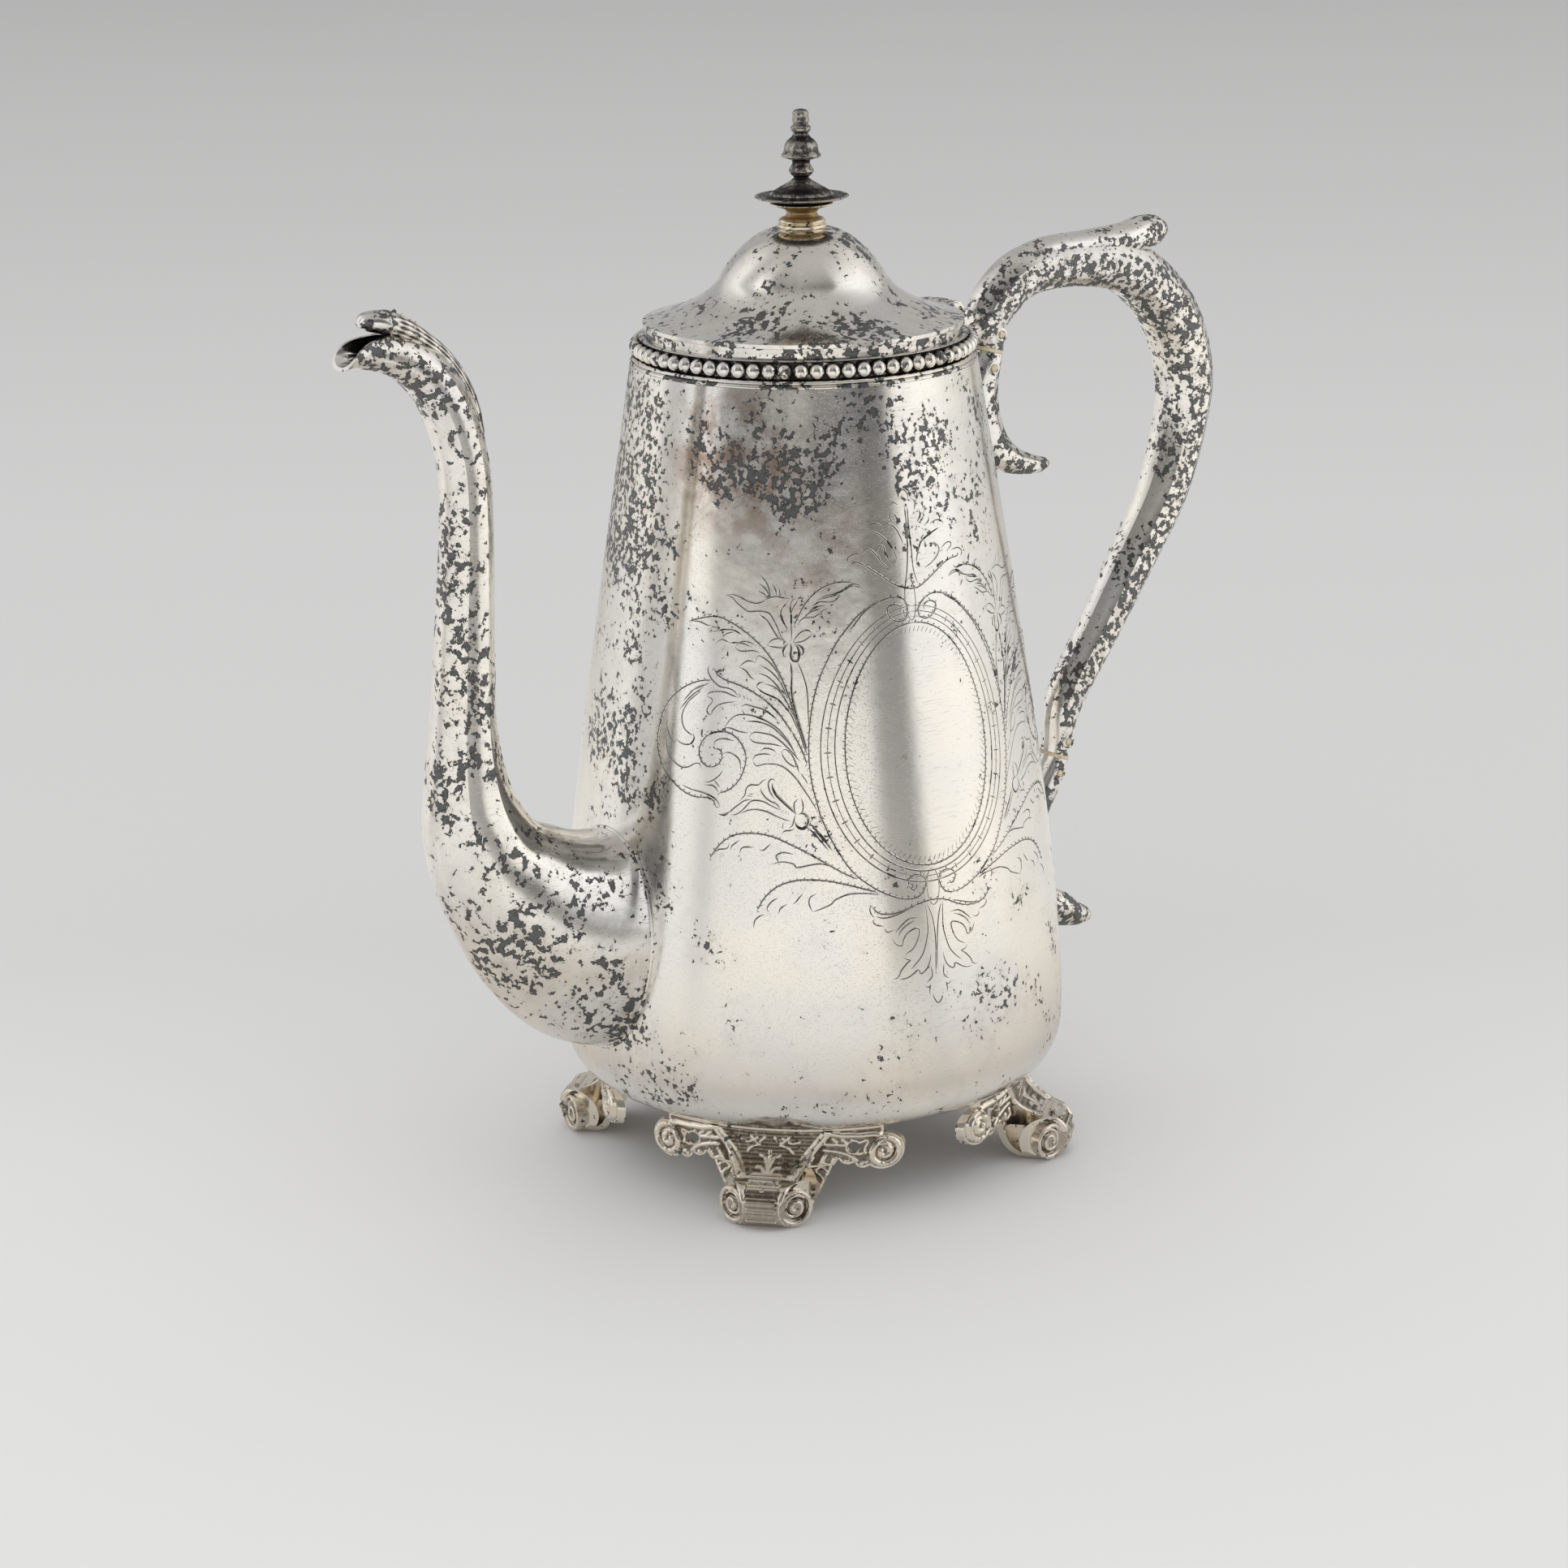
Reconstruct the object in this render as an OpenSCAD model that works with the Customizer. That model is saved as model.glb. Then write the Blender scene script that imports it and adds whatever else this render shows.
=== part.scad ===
// Footed coffee pot in plated metal: tall pear body on four cast scroll feet, swan-neck spout,
// scroll handle held off the body by two insulators, and a domed lid on a five-knuckle hinge.
// Origin on the table under the body axis, +Z up, spout towards -X, handle towards +X.

/* [Body] */
// Radius of the belly at its widest
belly_r = 62.6; // [61:0.1:65]
// Height of the belly's lower edge, where the underside starts to curl in
belly_z = 37; // [35:0.5:42]
// Height of the base disc's underside above the table
base_z = 20; // [19:0.5:22]
// Radius of the base disc that closes the body
base_r = 44; // [41:0.5:47]
// Height of the body's upper edge
body_top_z = 200.3; // [194:0.1:206]
// Radius of the body's upper edge
body_top_r = 42; // [41:0.1:44]
// Thickness of the body's sheet
wall = 1; // [0.7:0.1:1.4]

/* [Collar and beads] */
// How far the upright collar stands in from the body's upper edge
collar_step = 3.7; // [3:0.1:5]
// Height of the collar above the body's upper edge
collar_h = 8.9; // [8.4:0.1:11]
// Thickness of the collar's wall
collar_wall = 1.1; // [0.8:0.1:1.5]
// Number of beads in the border
bead_count = 68; // [48:1:70]
// Radius of one bead
bead_r = 1.8; // [1.4:0.05:1.85]

/* [Lid] */
// How far the lid's thin rim stands out past the collar
lid_lip = 0.4; // [0.2:0.1:1.2]
// Height from the lid's rim to its flat crown
lid_h = 21.7; // [18:0.1:26]
// Thickness of the lid's sheet
lid_wall = 0.9; // [0.7:0.1:1.2]
// Depth of the bezel that drops into the collar
bezel_depth = 4.4; // [3:0.1:5]
// Gap between the bezel and the collar
bezel_gap = 0.6; // [0.5:0.05:0.8]

/* [Finial] */
// Radius of the finial's foot ring
finial_foot_r = 5.9; // [5:0.1:7]
// Radius of the finial's wide disc
finial_disc_r = 11.4; // [9:0.1:13]
// Height of the turned knop above the disc
knop_h = 21.8; // [18:0.2:25]
// Radius of the knop's bell
knop_r = 4.85; // [4.2:0.05:5.6]
// Radius of the threaded stud
stud_r = 1.2; // [1:0.05:1.4]

/* [Hinge] */
// Gap between the hinge barrel and the beads
hinge_gap = 0.2; // [0.15:0.05:0.5]
// Outer radius of the hinge barrel
barrel_r = 1.9; // [1.6:0.05:2]
// Full width of the hinge barrel
barrel_w = 13; // [10:0.5:16]
// Radius of the hinge pin
hinge_pin_r = 0.8; // [0.6:0.05:1]
// Running clearance round the hinge pin
pin_clearance = 0.05; // [0.02:0.01:0.1]
// Gap between neighbouring knuckles
knuckle_gap = 0.12; // [0.08:0.02:0.3]

/* [Spout] */
// Height of the middle of the spout's root
spout_root_z = 65.9; // [62:0.5:70]
// Height of the spout's root
spout_root_h = 57.5; // [50:0.5:60]
// Width of the spout's root
spout_root_w = 37.6; // [32:0.4:42]
// Distance of the spout's shaft from the body axis
spout_shaft_x = 94; // [90:0.5:98]
// Diameter of the spout's shaft at its middle
spout_shaft_d = 13.2; // [12:0.2:15]
// Height of the mouth's middle
spout_mouth_z = 215.5; // [208:0.5:222]
// Distance from the body axis to the tip of the lip
spout_reach = 125.6; // [124:0.5:132]
// Thickness of the spout's sheet
spout_wall = 0.9; // [0.7:0.1:1.2]

/* [Handle] */
// Height of the upper joint between handle and socket
upper_joint_z = 196.3; // [194:0.5:199]
// Distance of the upper joint from the body's upper edge
upper_joint_out = 12.7; // [11.5:0.1:14]
// Height of the lower joint between handle and socket
lower_joint_z = 88.3; // [80:0.5:95]
// Distance of the lower joint from the belly radius
lower_joint_out = 13.1; // [12:0.1:15]
// How far the handle's bow stands out from the body axis
handle_reach = 123.5; // [117:0.1:128]
// Thickness of the handle at its bow
handle_d = 13; // [11:0.2:14.5]
// Thickness of the handle where it meets a socket
joint_d = 7.4; // [6.8:0.1:8.4]
// Thickness of the insulating disc in each joint
insulator_t = 1; // [0.8:0.1:1.6]
// Radius of the insulator's tenons
tenon_r = 2.2; // [1.9:0.05:2.4]
// Length of each tenon
tenon_l = 8; // [7:0.5:9]
// Radius of the pins through the tenons
joint_pin_r = 0.9; // [0.7:0.05:1]

/* [Feet] */
// Radius at which the feet's soles rest
foot_r = 58; // [56:0.5:60]
// Half the width of one foot across its wings
foot_half_w = 31.2; // [27:0.5:32]
// Radius of the rolled toe
toe_r = 5.7; // [5:0.1:6]
// Half the width of the toe
toe_half_w = 10; // [8.5:0.1:11]
// Thickness of the cast sheet
foot_t = 1.7; // [1.4:0.1:2]

/* [Hidden] */
$fn = 96;

silver = [0.82, 0.80, 0.77];
pale_silver = [0.88, 0.87, 0.84];
dark_silver = [0.55, 0.53, 0.50];
bone = [0.80, 0.70, 0.48];

seat_gap = 0.02;        // between soldered curved faces
tenon_gap = 0.03;       // between a tenon or a joint pin and its hole
far = 400;              // longer than anything here

// Height of each level in the stack above the body
flange_t = 0.9;
collar_top_z = body_top_z + collar_h;
lid_rim_z = collar_top_z;
crown_z = lid_rim_z + lid_wall + lid_h;
collar_r = body_top_r - collar_step;
collar_in_r = collar_r - collar_wall;
lid_r = collar_r + lid_lip;
bezel_r = collar_in_r - bezel_gap;
bezel_t = 0.8;
hinge_z = collar_top_z - 3;
bead_ring_r = collar_r + 0.2 + bead_r;
hinge_x = bead_ring_r + bead_r + barrel_r + hinge_gap;

// ---------- curves ----------

// Point at t on the cubic with ends a, d and handles b, c
function bezier(a, b, c, d, t) =
    pow(1 - t, 3) * a + 3 * t * pow(1 - t, 2) * b + 3 * t * t * (1 - t) * c + t * t * t * d;

function bezier_points(a, b, c, d, n) = [for (i = [0 : n]) bezier(a, b, c, d, i / n)];

// Smooth curve through every station of a list, n steps to a span
function through(s, n) = [
    for (i = [0 : len(s) - 2], k = [0 : n - 1])
        let (a = s[max(i - 1, 0)], b = s[i], c = s[i + 1], d = s[min(i + 2, len(s) - 1)], t = k / n)
        0.5 * (2 * b + (c - a) * t + (2 * a - 5 * b + 4 * c - d) * t * t
            + (3 * b - a - 3 * c + d) * t * t * t),
    s[len(s) - 1],
];

// A tube in the pot's plane of symmetry. A station is [x, z, depth, width, facet], where facet
// sinks the middle of each of eight long flats.
function heading(s, i) =
    let (a = s[max(i - 1, 0)], b = s[min(i + 1, len(s) - 1)], v = [b.x - a.x, b.y - a.y])
    v / norm(v);

function tube_ring(s, i, sides, inset) =
    let (p = s[i], h = heading(s, i))
    [for (k = [0 : sides - 1])
        let (
            turn = 360 * k / sides,
            lobe = 1 - p[4] * (1 + cos(8 * turn)) / 2,
            across = (p[2] / 2 - inset) * lobe * cos(turn),
            side = (p[3] / 2 - inset) * lobe * sin(turn)
        )
        [p.x - h.y * across, side, p.y + h.x * across]];

// Stations given about a point of the plane of symmetry, all enlarged k times
function placed(x, z, k, s) = [for (p = s) [x + k * p[0], z + k * p[1], k * p[2], k * p[3], p[4]]];

module tube(s, sides = 16, inset = 0) {
    n = len(s);
    points = [for (i = [0 : n - 1]) each tube_ring(s, i, sides, inset)];
    skin = [for (i = [0 : n - 2], k = [0 : sides - 1])
        let (a = i * sides + k, b = i * sides + (k + 1) % sides)
        each [[a, b, b + sides], [a, b + sides, a + sides]]];
    first = [for (k = [sides - 1 : -1 : 0]) k];
    last = [for (k = [0 : sides - 1]) (n - 1) * sides + k];
    polyhedron(points, concat(skin, [first, last]), convexity = 6);
}

// ---------- body ----------

// Outline of the body from the edge of its base to its upper edge, drawn in by inset
function body_outline(inset) = concat(
    bezier_points(
        [base_r, base_z + inset], [base_r + 13.6, base_z + 1.4 + inset],
        [belly_r - inset, belly_z - 11.5 + inset / 2], [belly_r - inset, belly_z], 10),
    [for (i = [1 : 22]) bezier(
        [belly_r - inset, belly_z], [belly_r - inset, belly_z + 40],
        [body_top_r + 9 - inset, body_top_z - 60], [body_top_r - inset, body_top_z], i / 22)]
);

// Outer radius of the body at a height
function body_r(z) = lookup(z, [for (p = body_outline(0)) [p.y, p.x]]);

// The whole space inside the body's outer skin, grown by a little
module body_space(grow = 0) {
    rotate_extrude() polygon(concat(
        [[0, base_z - grow]], body_outline(-grow), [[0, body_top_z + 6]]));
}

// Opening in the body's wall that lets the coffee into the spout
module spout_port() {
    port_w = spout_root_w * 0.52;
    port_h = spout_root_h * 0.5;
    translate([-body_r(spout_root_z) - wall, 0, spout_root_z])
        rotate([90, 0, 90])
            linear_extrude(8, center = true) {
                for (side = [-1, 1])
                    translate([0, side * (port_h - port_w) / 2])
                        circle(d = port_w);
                square([port_w, port_h - port_w], center = true);
            }
}

module vessel() {
    inner = body_outline(wall);
    color(silver)
        difference() {
            rotate_extrude()
                polygon(concat(body_outline(0), [for (i = [len(inner) - 1 : -1 : 0]) inner[i]]));
            spout_port();
        }
}

module base_disc() {
    r = base_r - seat_gap;
    dish = 2.2;
    color(dark_silver)
        rotate_extrude()
            polygon([
                [0, base_z + dish], [r - 9, base_z + dish * 0.7], [r - 4, base_z], [r, base_z],
                [r, base_z + wall], [r - 3.6, base_z + wall], [r - 8.6, base_z + dish * 0.7 + wall],
                [0, base_z + dish + wall]
            ]);
}

// ---------- collar ----------

module collar() {
    z = body_top_z;
    color(silver)
        rotate_extrude()
            polygon([
                [collar_in_r, z], [body_top_r, z], [body_top_r, z + 0.5], [body_top_r - 0.5, z + flange_t],
                [collar_r, z + flange_t], [collar_r, collar_top_z - 1.4],
                [collar_r + 0.35, collar_top_z], [collar_in_r, collar_top_z]
            ]);
}

bead_seat = 0.15;              // between the beads and the fillets above and below them
fillet_h = 1;
bead_z = body_top_z + flange_t + fillet_h + bead_seat + bead_r;
bead_band_top = bead_z + bead_r + bead_seat + 0.7;

// Plain fillet, the row of beads on its band, and a lighter fillet above
module bead_band() {
    z = body_top_z + flange_t;
    inner = collar_r + seat_gap;
    band = bead_ring_r - bead_r * 0.4;
    top = bead_z + bead_r + bead_seat;
    color(silver) {
        rotate_extrude()
            polygon([
                [inner, z], [body_top_r - 0.5, z], [body_top_r - 0.2, z + 0.4],
                [body_top_r - 0.6, z + 0.85], [band, z + fillet_h], [band, top],
                [band + 0.3, top + 0.25], [band - 0.1, top + 0.6], [inner, bead_band_top]
            ]);
        for (i = [0 : bead_count - 1])
            rotate([0, 0, 360 * (i + 0.5) / bead_count])
                translate([bead_ring_r, 0, bead_z])
                    sphere(r = bead_r, $fn = 24);
    }
}

// ---------- spout ----------

// Stations of the spout from inside the body to past the lip. The root is a tall smooth oval, the
// shaft is round with eight soft flats, and the neck turns over to a beak.
spout_x0 = -body_r(spout_root_z);
shaft_x = -spout_shaft_x;
rise = (spout_mouth_z - spout_root_z) / 149.6;
function spout_z(up) = spout_root_z + up * rise;
spout_curve = through([
    [spout_x0 + 6, spout_z(-0.6), spout_root_h + 0.5, spout_root_w + 0.4, 0],
    [spout_x0 - 5, spout_z(1.9), spout_root_h * 0.945, spout_root_w * 0.97, 0],
    [shaft_x + 17.6, spout_z(8), spout_root_h * 0.805, spout_root_w * 0.88, 0],
    [shaft_x + 9, spout_z(16), spout_root_h * 0.655, spout_root_w * 0.77, 0.005],
    [shaft_x + 2.6, spout_z(24.4), spout_root_h * 0.53, spout_root_w * 0.65, 0.015],
    [shaft_x - 1.4, spout_z(34.6), spout_root_h * 0.44, spout_root_w * 0.57, 0.025],
    [shaft_x - 2.8, spout_z(45), spout_root_h * 0.35, spout_shaft_d * 1.4, 0.035],
    [shaft_x - 2.9, spout_z(58.4), spout_shaft_d * 1.22, spout_shaft_d * 1.24, 0.04],
    [shaft_x - 1.7, spout_z(77.6), spout_shaft_d * 1.09, spout_shaft_d * 1.1, 0.04],
    [shaft_x, spout_z(106.1), spout_shaft_d * 0.97, spout_shaft_d * 0.98, 0.04],
    [shaft_x - 0.6, spout_z(122), spout_shaft_d * 0.93, spout_shaft_d * 0.95, 0.04],
    [shaft_x - 4.4, spout_z(134.9), spout_shaft_d * 0.94, spout_shaft_d * 0.95, 0.04],
    [shaft_x - 10.2, spout_z(143), spout_shaft_d * 0.88, spout_shaft_d * 0.92, 0.035],
    [shaft_x - 18, spout_z(147.7), spout_shaft_d * 0.75, spout_shaft_d * 0.81, 0.03],
    [-spout_reach + 6, spout_z(149.4), spout_shaft_d * 0.655, spout_shaft_d * 0.72, 0.01],
    [-spout_reach - 4, spout_z(149.9), spout_shaft_d * 0.63, spout_shaft_d * 0.72, 0.01],
], 2);

// What is cut away round the mouth: a nearly upright lip, open at the top under the leaf
module mouth_cut() {
    tip = -spout_reach;
    z = spout_mouth_z;
    rotate([90, 0, 0])
        linear_extrude(40, center = true)
            polygon(concat(
                [[tip - 10, z - 12], [tip + 0.7, z - 12]],
                bezier_points([tip + 0.6, z - 4.2], [tip - 1, z - 0.4], [tip + 1.6, z + 3.3], [tip + 7.4, z + 3.5], 8),
                [[tip + 12.4, z + 3.1], [tip + 12.4, z + 12], [tip - 10, z + 12]]
            ));
}

module spout() {
    inner = [for (i = [0 : len(spout_curve) - 1]) spout_curve[i]];
    color(pale_silver)
        difference() {
            tube(spout_curve, 24);
            tube(inner, 24, spout_wall);
            body_space(seat_gap);
            mouth_cut();
        }
}

// Leaf cast on the back of the mouth, with a narrow tail down the bend
module spout_leaf() {
    color(dark_silver)
        difference() {
            tube(through(placed(shaft_x, spout_mouth_z, spout_shaft_d / 13.2, [
                [-25.6, 5.5, 1.6, 3, 0],
                [-23.6, 6.1, 4.6, 6.4, 0],
                [-19.6, 5.6, 5.6, 8.4, 0],
                [-14.8, 3.6, 5.6, 7.6, 0],
                [-10.2, 0.7, 4.8, 6, 0],
                [-5, -3.6, 4.4, 4.6, 0],
                [-0.4, -9.6, 4, 3.4, 0],
                [2.6, -16, 3.6, 2.4, 0],
                [4.6, -23, 2.2, 1.4, 0],
            ]), 2), 12);
            tube(spout_curve, 24, -seat_gap);
        }
}

// ---------- handle ----------

upper_joint_x = body_top_r + upper_joint_out;
lower_joint_x = belly_r + lower_joint_out;
upper_tilt = 16;
lower_tilt = 19;
handle_h = upper_joint_z - lower_joint_z;

// Places local z along a joint's axis, with the joint's middle at the origin
module at_upper_joint() translate([upper_joint_x, 0, upper_joint_z]) rotate([0, upper_tilt, 0]) children();
module at_lower_joint() translate([lower_joint_x, 0, lower_joint_z]) rotate([0, lower_tilt, 0]) children();

pin_step = tenon_l * 0.53;     // from the joint's middle to each pin
pin_l = joint_d + 2.2;         // heads stand just proud of the sides

module joint_pins(gap = 0) {
    for (side = [-1, 1])
        translate([0, 0, side * pin_step])
            rotate([90, 0, 0])
                cylinder(r = joint_pin_r + gap, h = far * (gap > 0 ? 1 : 0) + pin_l, center = true, $fn = 32);
}

module tenons(gap = 0) {
    cylinder(r = tenon_r + gap, h = 2 * (tenon_l + gap) + insulator_t, center = true, $fn = 48);
}

// Room for one joint: the insulator, its pins, and everything on the far side of the disc
module joint_cut(side) {
    tenons(tenon_gap);
    joint_pins(tenon_gap);
    translate([0, 0, -side * (8 - insulator_t / 2)])
        cube([26, 26, 16], center = true);
}

module insulator() {
    difference() {
        union() {
            tenons();
            cylinder(r = joint_d / 2, h = insulator_t, center = true, $fn = 48);
        }
        joint_pins(0.0001 + tenon_gap);
    }
}

module upper_insulator() color(bone) at_upper_joint() insulator();
module lower_insulator() color(bone) at_lower_joint() insulator();
module upper_pins() color(bone) at_upper_joint() joint_pins();
module lower_pins() color(bone) at_lower_joint() joint_pins();

// Stations of the handle, from the upper joint over the bow to the lower joint. Places go with
// the two joints and the bow, so that the handle still meets both sockets when one moves.
function handle_x(out) = upper_joint_x + out * (handle_reach - upper_joint_x) / 67.6;
function handle_z(up) = lower_joint_z + up * handle_h;
handle_curve = through([
    [upper_joint_x - 0.8, upper_joint_z - 3, joint_d, joint_d + 1, 0.02],
    [upper_joint_x + 0.4, upper_joint_z + 1.5, joint_d, joint_d + 1, 0.03],
    [handle_x(-0.6), upper_joint_z + 7.4, handle_d * 0.9, handle_d * 0.78, 0.045],
    [handle_x(4.6), upper_joint_z + 14.2, handle_d * 0.98, handle_d * 0.88, 0.05],
    [handle_x(12.8), upper_joint_z + 18.7, handle_d * 0.98, handle_d * 0.9, 0.05],
    [handle_x(28.5), upper_joint_z + 19.3, handle_d * 1.03, handle_d * 0.95, 0.05],
    [handle_x(43.6), upper_joint_z + 15.4, handle_d * 1.12, handle_d * 1.05, 0.05],
    [handle_x(55.6), upper_joint_z + 3.6, handle_d * 1.2, handle_d * 1.15, 0.05],
    [handle_x(60.8), handle_z(0.9), handle_d * 1.22, handle_d * 1.16, 0.05],
    [handle_x(60.3), handle_z(0.78), handle_d * 1.15, handle_d * 1.1, 0.05],
    [handle_x(54.9), handle_z(0.61), handle_d * 1.07, handle_d * 1.03, 0.05],
    [handle_x(45.2), handle_z(0.455), handle_d, handle_d * 0.97, 0.05],
    [handle_x(35), handle_z(0.3), handle_d * 0.92, handle_d * 0.88, 0.05],
    [lower_joint_x + 3.4, handle_z(0.135), handle_d * 0.82, handle_d * 0.78, 0.045],
    [lower_joint_x + 0.3, handle_z(0.015), joint_d, joint_d + 1, 0.03],
    [lower_joint_x - 1.2, handle_z(-0.03), joint_d, joint_d + 1, 0.02],
], 3);

// Tongue that rises off the back of the bow as a rest for the thumb
module thumb_scroll() {
    z = upper_joint_z;
    tube(through([
        [handle_x(5), z + 20.5, 3, 5, 0],
        [handle_x(15.6), z + 22.8, 6.5, 8.4, 0],
        [handle_x(28.4), z + 23.2, 7.2, 9.4, 0],
        [handle_x(40), z + 23.6, 7.8, 9.4, 0],
        [handle_x(46.6), z + 24.4, 8.8, 9, 0],
        [handle_x(51), z + 25, 7.6, 8, 0],
        [handle_x(54), z + 25.4, 3.4, 4.4, 0],
    ], 2), 12);
}

module handle() {
    color(dark_silver)
        difference() {
            union() {
                tube(handle_curve, 20);
                thumb_scroll();
            }
            at_upper_joint() joint_cut(1);
            at_lower_joint() joint_cut(1);
        }
}

// Socket below the upper joint, soldered down the body, with a tail that flicks out
module upper_socket() {
    color(silver)
        difference() {
            tube(through(placed(upper_joint_x, upper_joint_z, joint_d / 7.4, [
                [0.8, 2, 7.4, 8.4, 0.02],
                [0, -1, 7.4, 8.4, 0.03],
                [-3.4, -9.5, 11.8, 9, 0.03],
                [-2.6, -17.5, 11.4, 9.4, 0.03],
                [1, -24.5, 9.8, 9, 0.03],
                [6.6, -28.6, 7.4, 8, 0.03],
                [13, -30.6, 5.2, 6.4, 0.02],
                [17.2, -31.1, 3.4, 3.8, 0],
                [18.8, -31.1, 1.2, 1.4, 0],
            ]), 2), 16);
            body_space(seat_gap);
            translate([0, 0, body_top_z - 1])
                cylinder(r = body_top_r + 0.2, h = collar_h);
            at_upper_joint() joint_cut(-1);
        }
}

// Socket below the lower joint: it leans in to the body, runs down it and flicks out again
module lower_socket() {
    color(silver)
        difference() {
            tube(through(placed(lower_joint_x, lower_joint_z, joint_d / 7.4, [
                [0.8, 2, 7.4, 8.4, 0.02],
                [-0.4, -1.5, 7.4, 8.4, 0.03],
                [-3.4, -7.5, 8.4, 8.6, 0.03],
                [-8, -15, 9.4, 9, 0.03],
                [-11.2, -24, 10, 9.4, 0.03],
                [-10.2, -33, 10.4, 9.8, 0.03],
                [-5, -39, 10.4, 10, 0.03],
                [1.4, -42, 9.4, 9.4, 0.02],
                [6, -44.2, 6.8, 8, 0.01],
                [9.6, -45.2, 4.6, 5.4, 0],
                [11.4, -45.4, 1.6, 2, 0],
            ]), 2), 16);
            body_space(seat_gap);
            at_lower_joint() joint_cut(-1);
        }
}

// ---------- feet ----------

sole_flat = 0.15;              // how much of the toe's round is flattened on the table
toe_x = foot_r + 1.8;
toe_z = toe_r - sole_flat;
sheet_x = foot_r - 9.8;        // back of the upright part of a foot
wing_z = 15.4;
wing_shell_r = foot_r - 4.4;
wing_r = 4.6;
neck_half_w = toe_half_w + 5.2;
panel_top_half_w = 14;
panel_low_half_w = 4.6;
nose_half_w = 4.4;

// Back of the leg's sheet, from the sole up into the body
leg_back = bezier_points([foot_r + 1, 0], [foot_r - 7.5, 0], [sheet_x - 0.4, 5.6], [sheet_x, base_z + 6], 8);

// The same line moved forward by the sheet's thickness
function forward(line, t) = [
    for (i = [0 : len(line) - 1])
        let (a = line[max(i - 1, 0)], b = line[min(i + 1, len(line) - 1)], v = (b - a) / norm(b - a))
        line[i] + t * [v.y, -v.x]];

module closed_strip(line, t) {
    front = forward(line, t);
    polygon(concat(line, [for (i = [len(front) - 1 : -1 : 0]) front[i]]));
}

// Side outline of the panel, which swells forward from the sheet and runs down to the roll
module panel_side(proud) {
    polygon(concat(
        leg_back,
        bezier_points([sheet_x + 1.3 + proud, base_z + 6], [sheet_x + 1.6 + proud, base_z - 4],
            [foot_r - 4 + proud, toe_r * 2 + 2.2], [toe_x, toe_z + toe_r - 0.3 + proud * 0.5], 8)
    ));
}

// Front outline of the two wings, each rolled into a scroll at its end, pierced beside the leg
module wings_front() {
    difference() {
        union() {
            polygon([
                [-foot_half_w + wing_r, base_z + 8], [-foot_half_w + wing_r, wing_z + wing_r - 0.6],
                [-neck_half_w - 3, wing_z + 1.6], [-neck_half_w, wing_z - 2.6], [0, wing_z - 4],
                [neck_half_w, wing_z - 2.6], [neck_half_w + 3, wing_z + 1.6],
                [foot_half_w - wing_r, wing_z + wing_r - 0.6], [foot_half_w - wing_r, base_z + 8]
            ]);
            for (side = [-1, 1]) {
                translate([side * (foot_half_w - wing_r), wing_z]) circle(r = wing_r, $fn = 40);
                translate([side * (foot_half_w - 9.2), wing_z - 1.8]) circle(r = 2, $fn = 24);
                translate([side * (neck_half_w + 3.4), wing_z - 0.2]) circle(r = 2.4, $fn = 24);
            }
        }
        for (side = [-1, 1])
            translate([side * (neck_half_w + 4.6), wing_z + 1.6]) circle(r = 1.5, $fn = 24);
    }
}

// Upright shell that the wings are cut from, bent round the pot's axis
module wing_shell() {
    translate([0, 0, wing_z - 8])
        difference() {
            cylinder(r = wing_shell_r, h = base_z + 8);
            translate([0, 0, -1]) cylinder(r = wing_shell_r - foot_t, h = base_z + 10);
        }
}

// Front outline of the leg, narrowing from the neck to the rounded sole
module leg_front() {
    polygon(concat(
        [[-neck_half_w, base_z + 8]],
        bezier_points([-neck_half_w, wing_z - 2], [-toe_half_w - 3.4, 10],
            [-toe_half_w - 0.6, 0], [-panel_low_half_w - 1, -0.01], 8),
        bezier_points([panel_low_half_w + 1, -0.01], [toe_half_w + 0.6, 0],
            [toe_half_w + 3.4, 10], [neck_half_w, wing_z - 2], 8),
        [[neck_half_w, base_z + 8]]
    ));
}

// Front outline of the panel between the two ribs that run from the wings down to the toe
module panel_front(edge) {
    polygon([
        [-panel_top_half_w - edge, base_z + 6], [-9.2 - edge, 15], [-panel_low_half_w - 0.4 - edge, 8.5],
        [-panel_low_half_w - edge, 0], [panel_low_half_w + edge, 0],
        [panel_low_half_w + 0.4 + edge, 8.5], [9.2 + edge, 15], [panel_top_half_w + edge, base_z + 6]
    ]);
}

// Turns a side outline (distance from the axis, height) and a front outline into solids
module from_side() rotate([90, 0, 0]) linear_extrude(far / 4, center = true) children();
module from_front() rotate([90, 0, 90]) linear_extrude(far / 4) children();

// The rolled toe: round from the side, with a blunt nose from above
module toe() {
    intersection() {
        from_side() translate([toe_x, toe_z]) circle(r = toe_r, $fn = 64);
        linear_extrude(far / 10)
            polygon([
                [sheet_x, -toe_half_w], [foot_r - 1.5, -toe_half_w], [toe_x + toe_r, -nose_half_w],
                [toe_x + toe_r, nose_half_w], [foot_r - 1.5, toe_half_w], [sheet_x, toe_half_w]
            ]);
        from_front() leg_front();
    }
}

// A scroll seen end on: a raised ring round a button
module scroll(r, rise, depth) {
    difference() {
        translate([0, 0, -depth]) cylinder(r = r, h = depth + rise, $fn = 48);
        cylinder(r = r * 0.76, h = rise + 1, $fn = 48);
    }
    translate([0, 0, -depth]) cylinder(r = r * 0.36, h = depth + rise * 1.1, $fn = 32);
}

// Scrolls on the two slanting sides of the toe
module toe_scrolls() {
    for (side = [-1, 1])
        translate([toe_x + 1, side * (toe_half_w - 2.9), toe_z - 0.2])
            rotate([0, 0, side * 37])
                rotate([0, 90, 0])
                    translate([0, 0, 0.5])
                        scroll(toe_r * 0.8, 0.8, 2);
}

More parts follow.
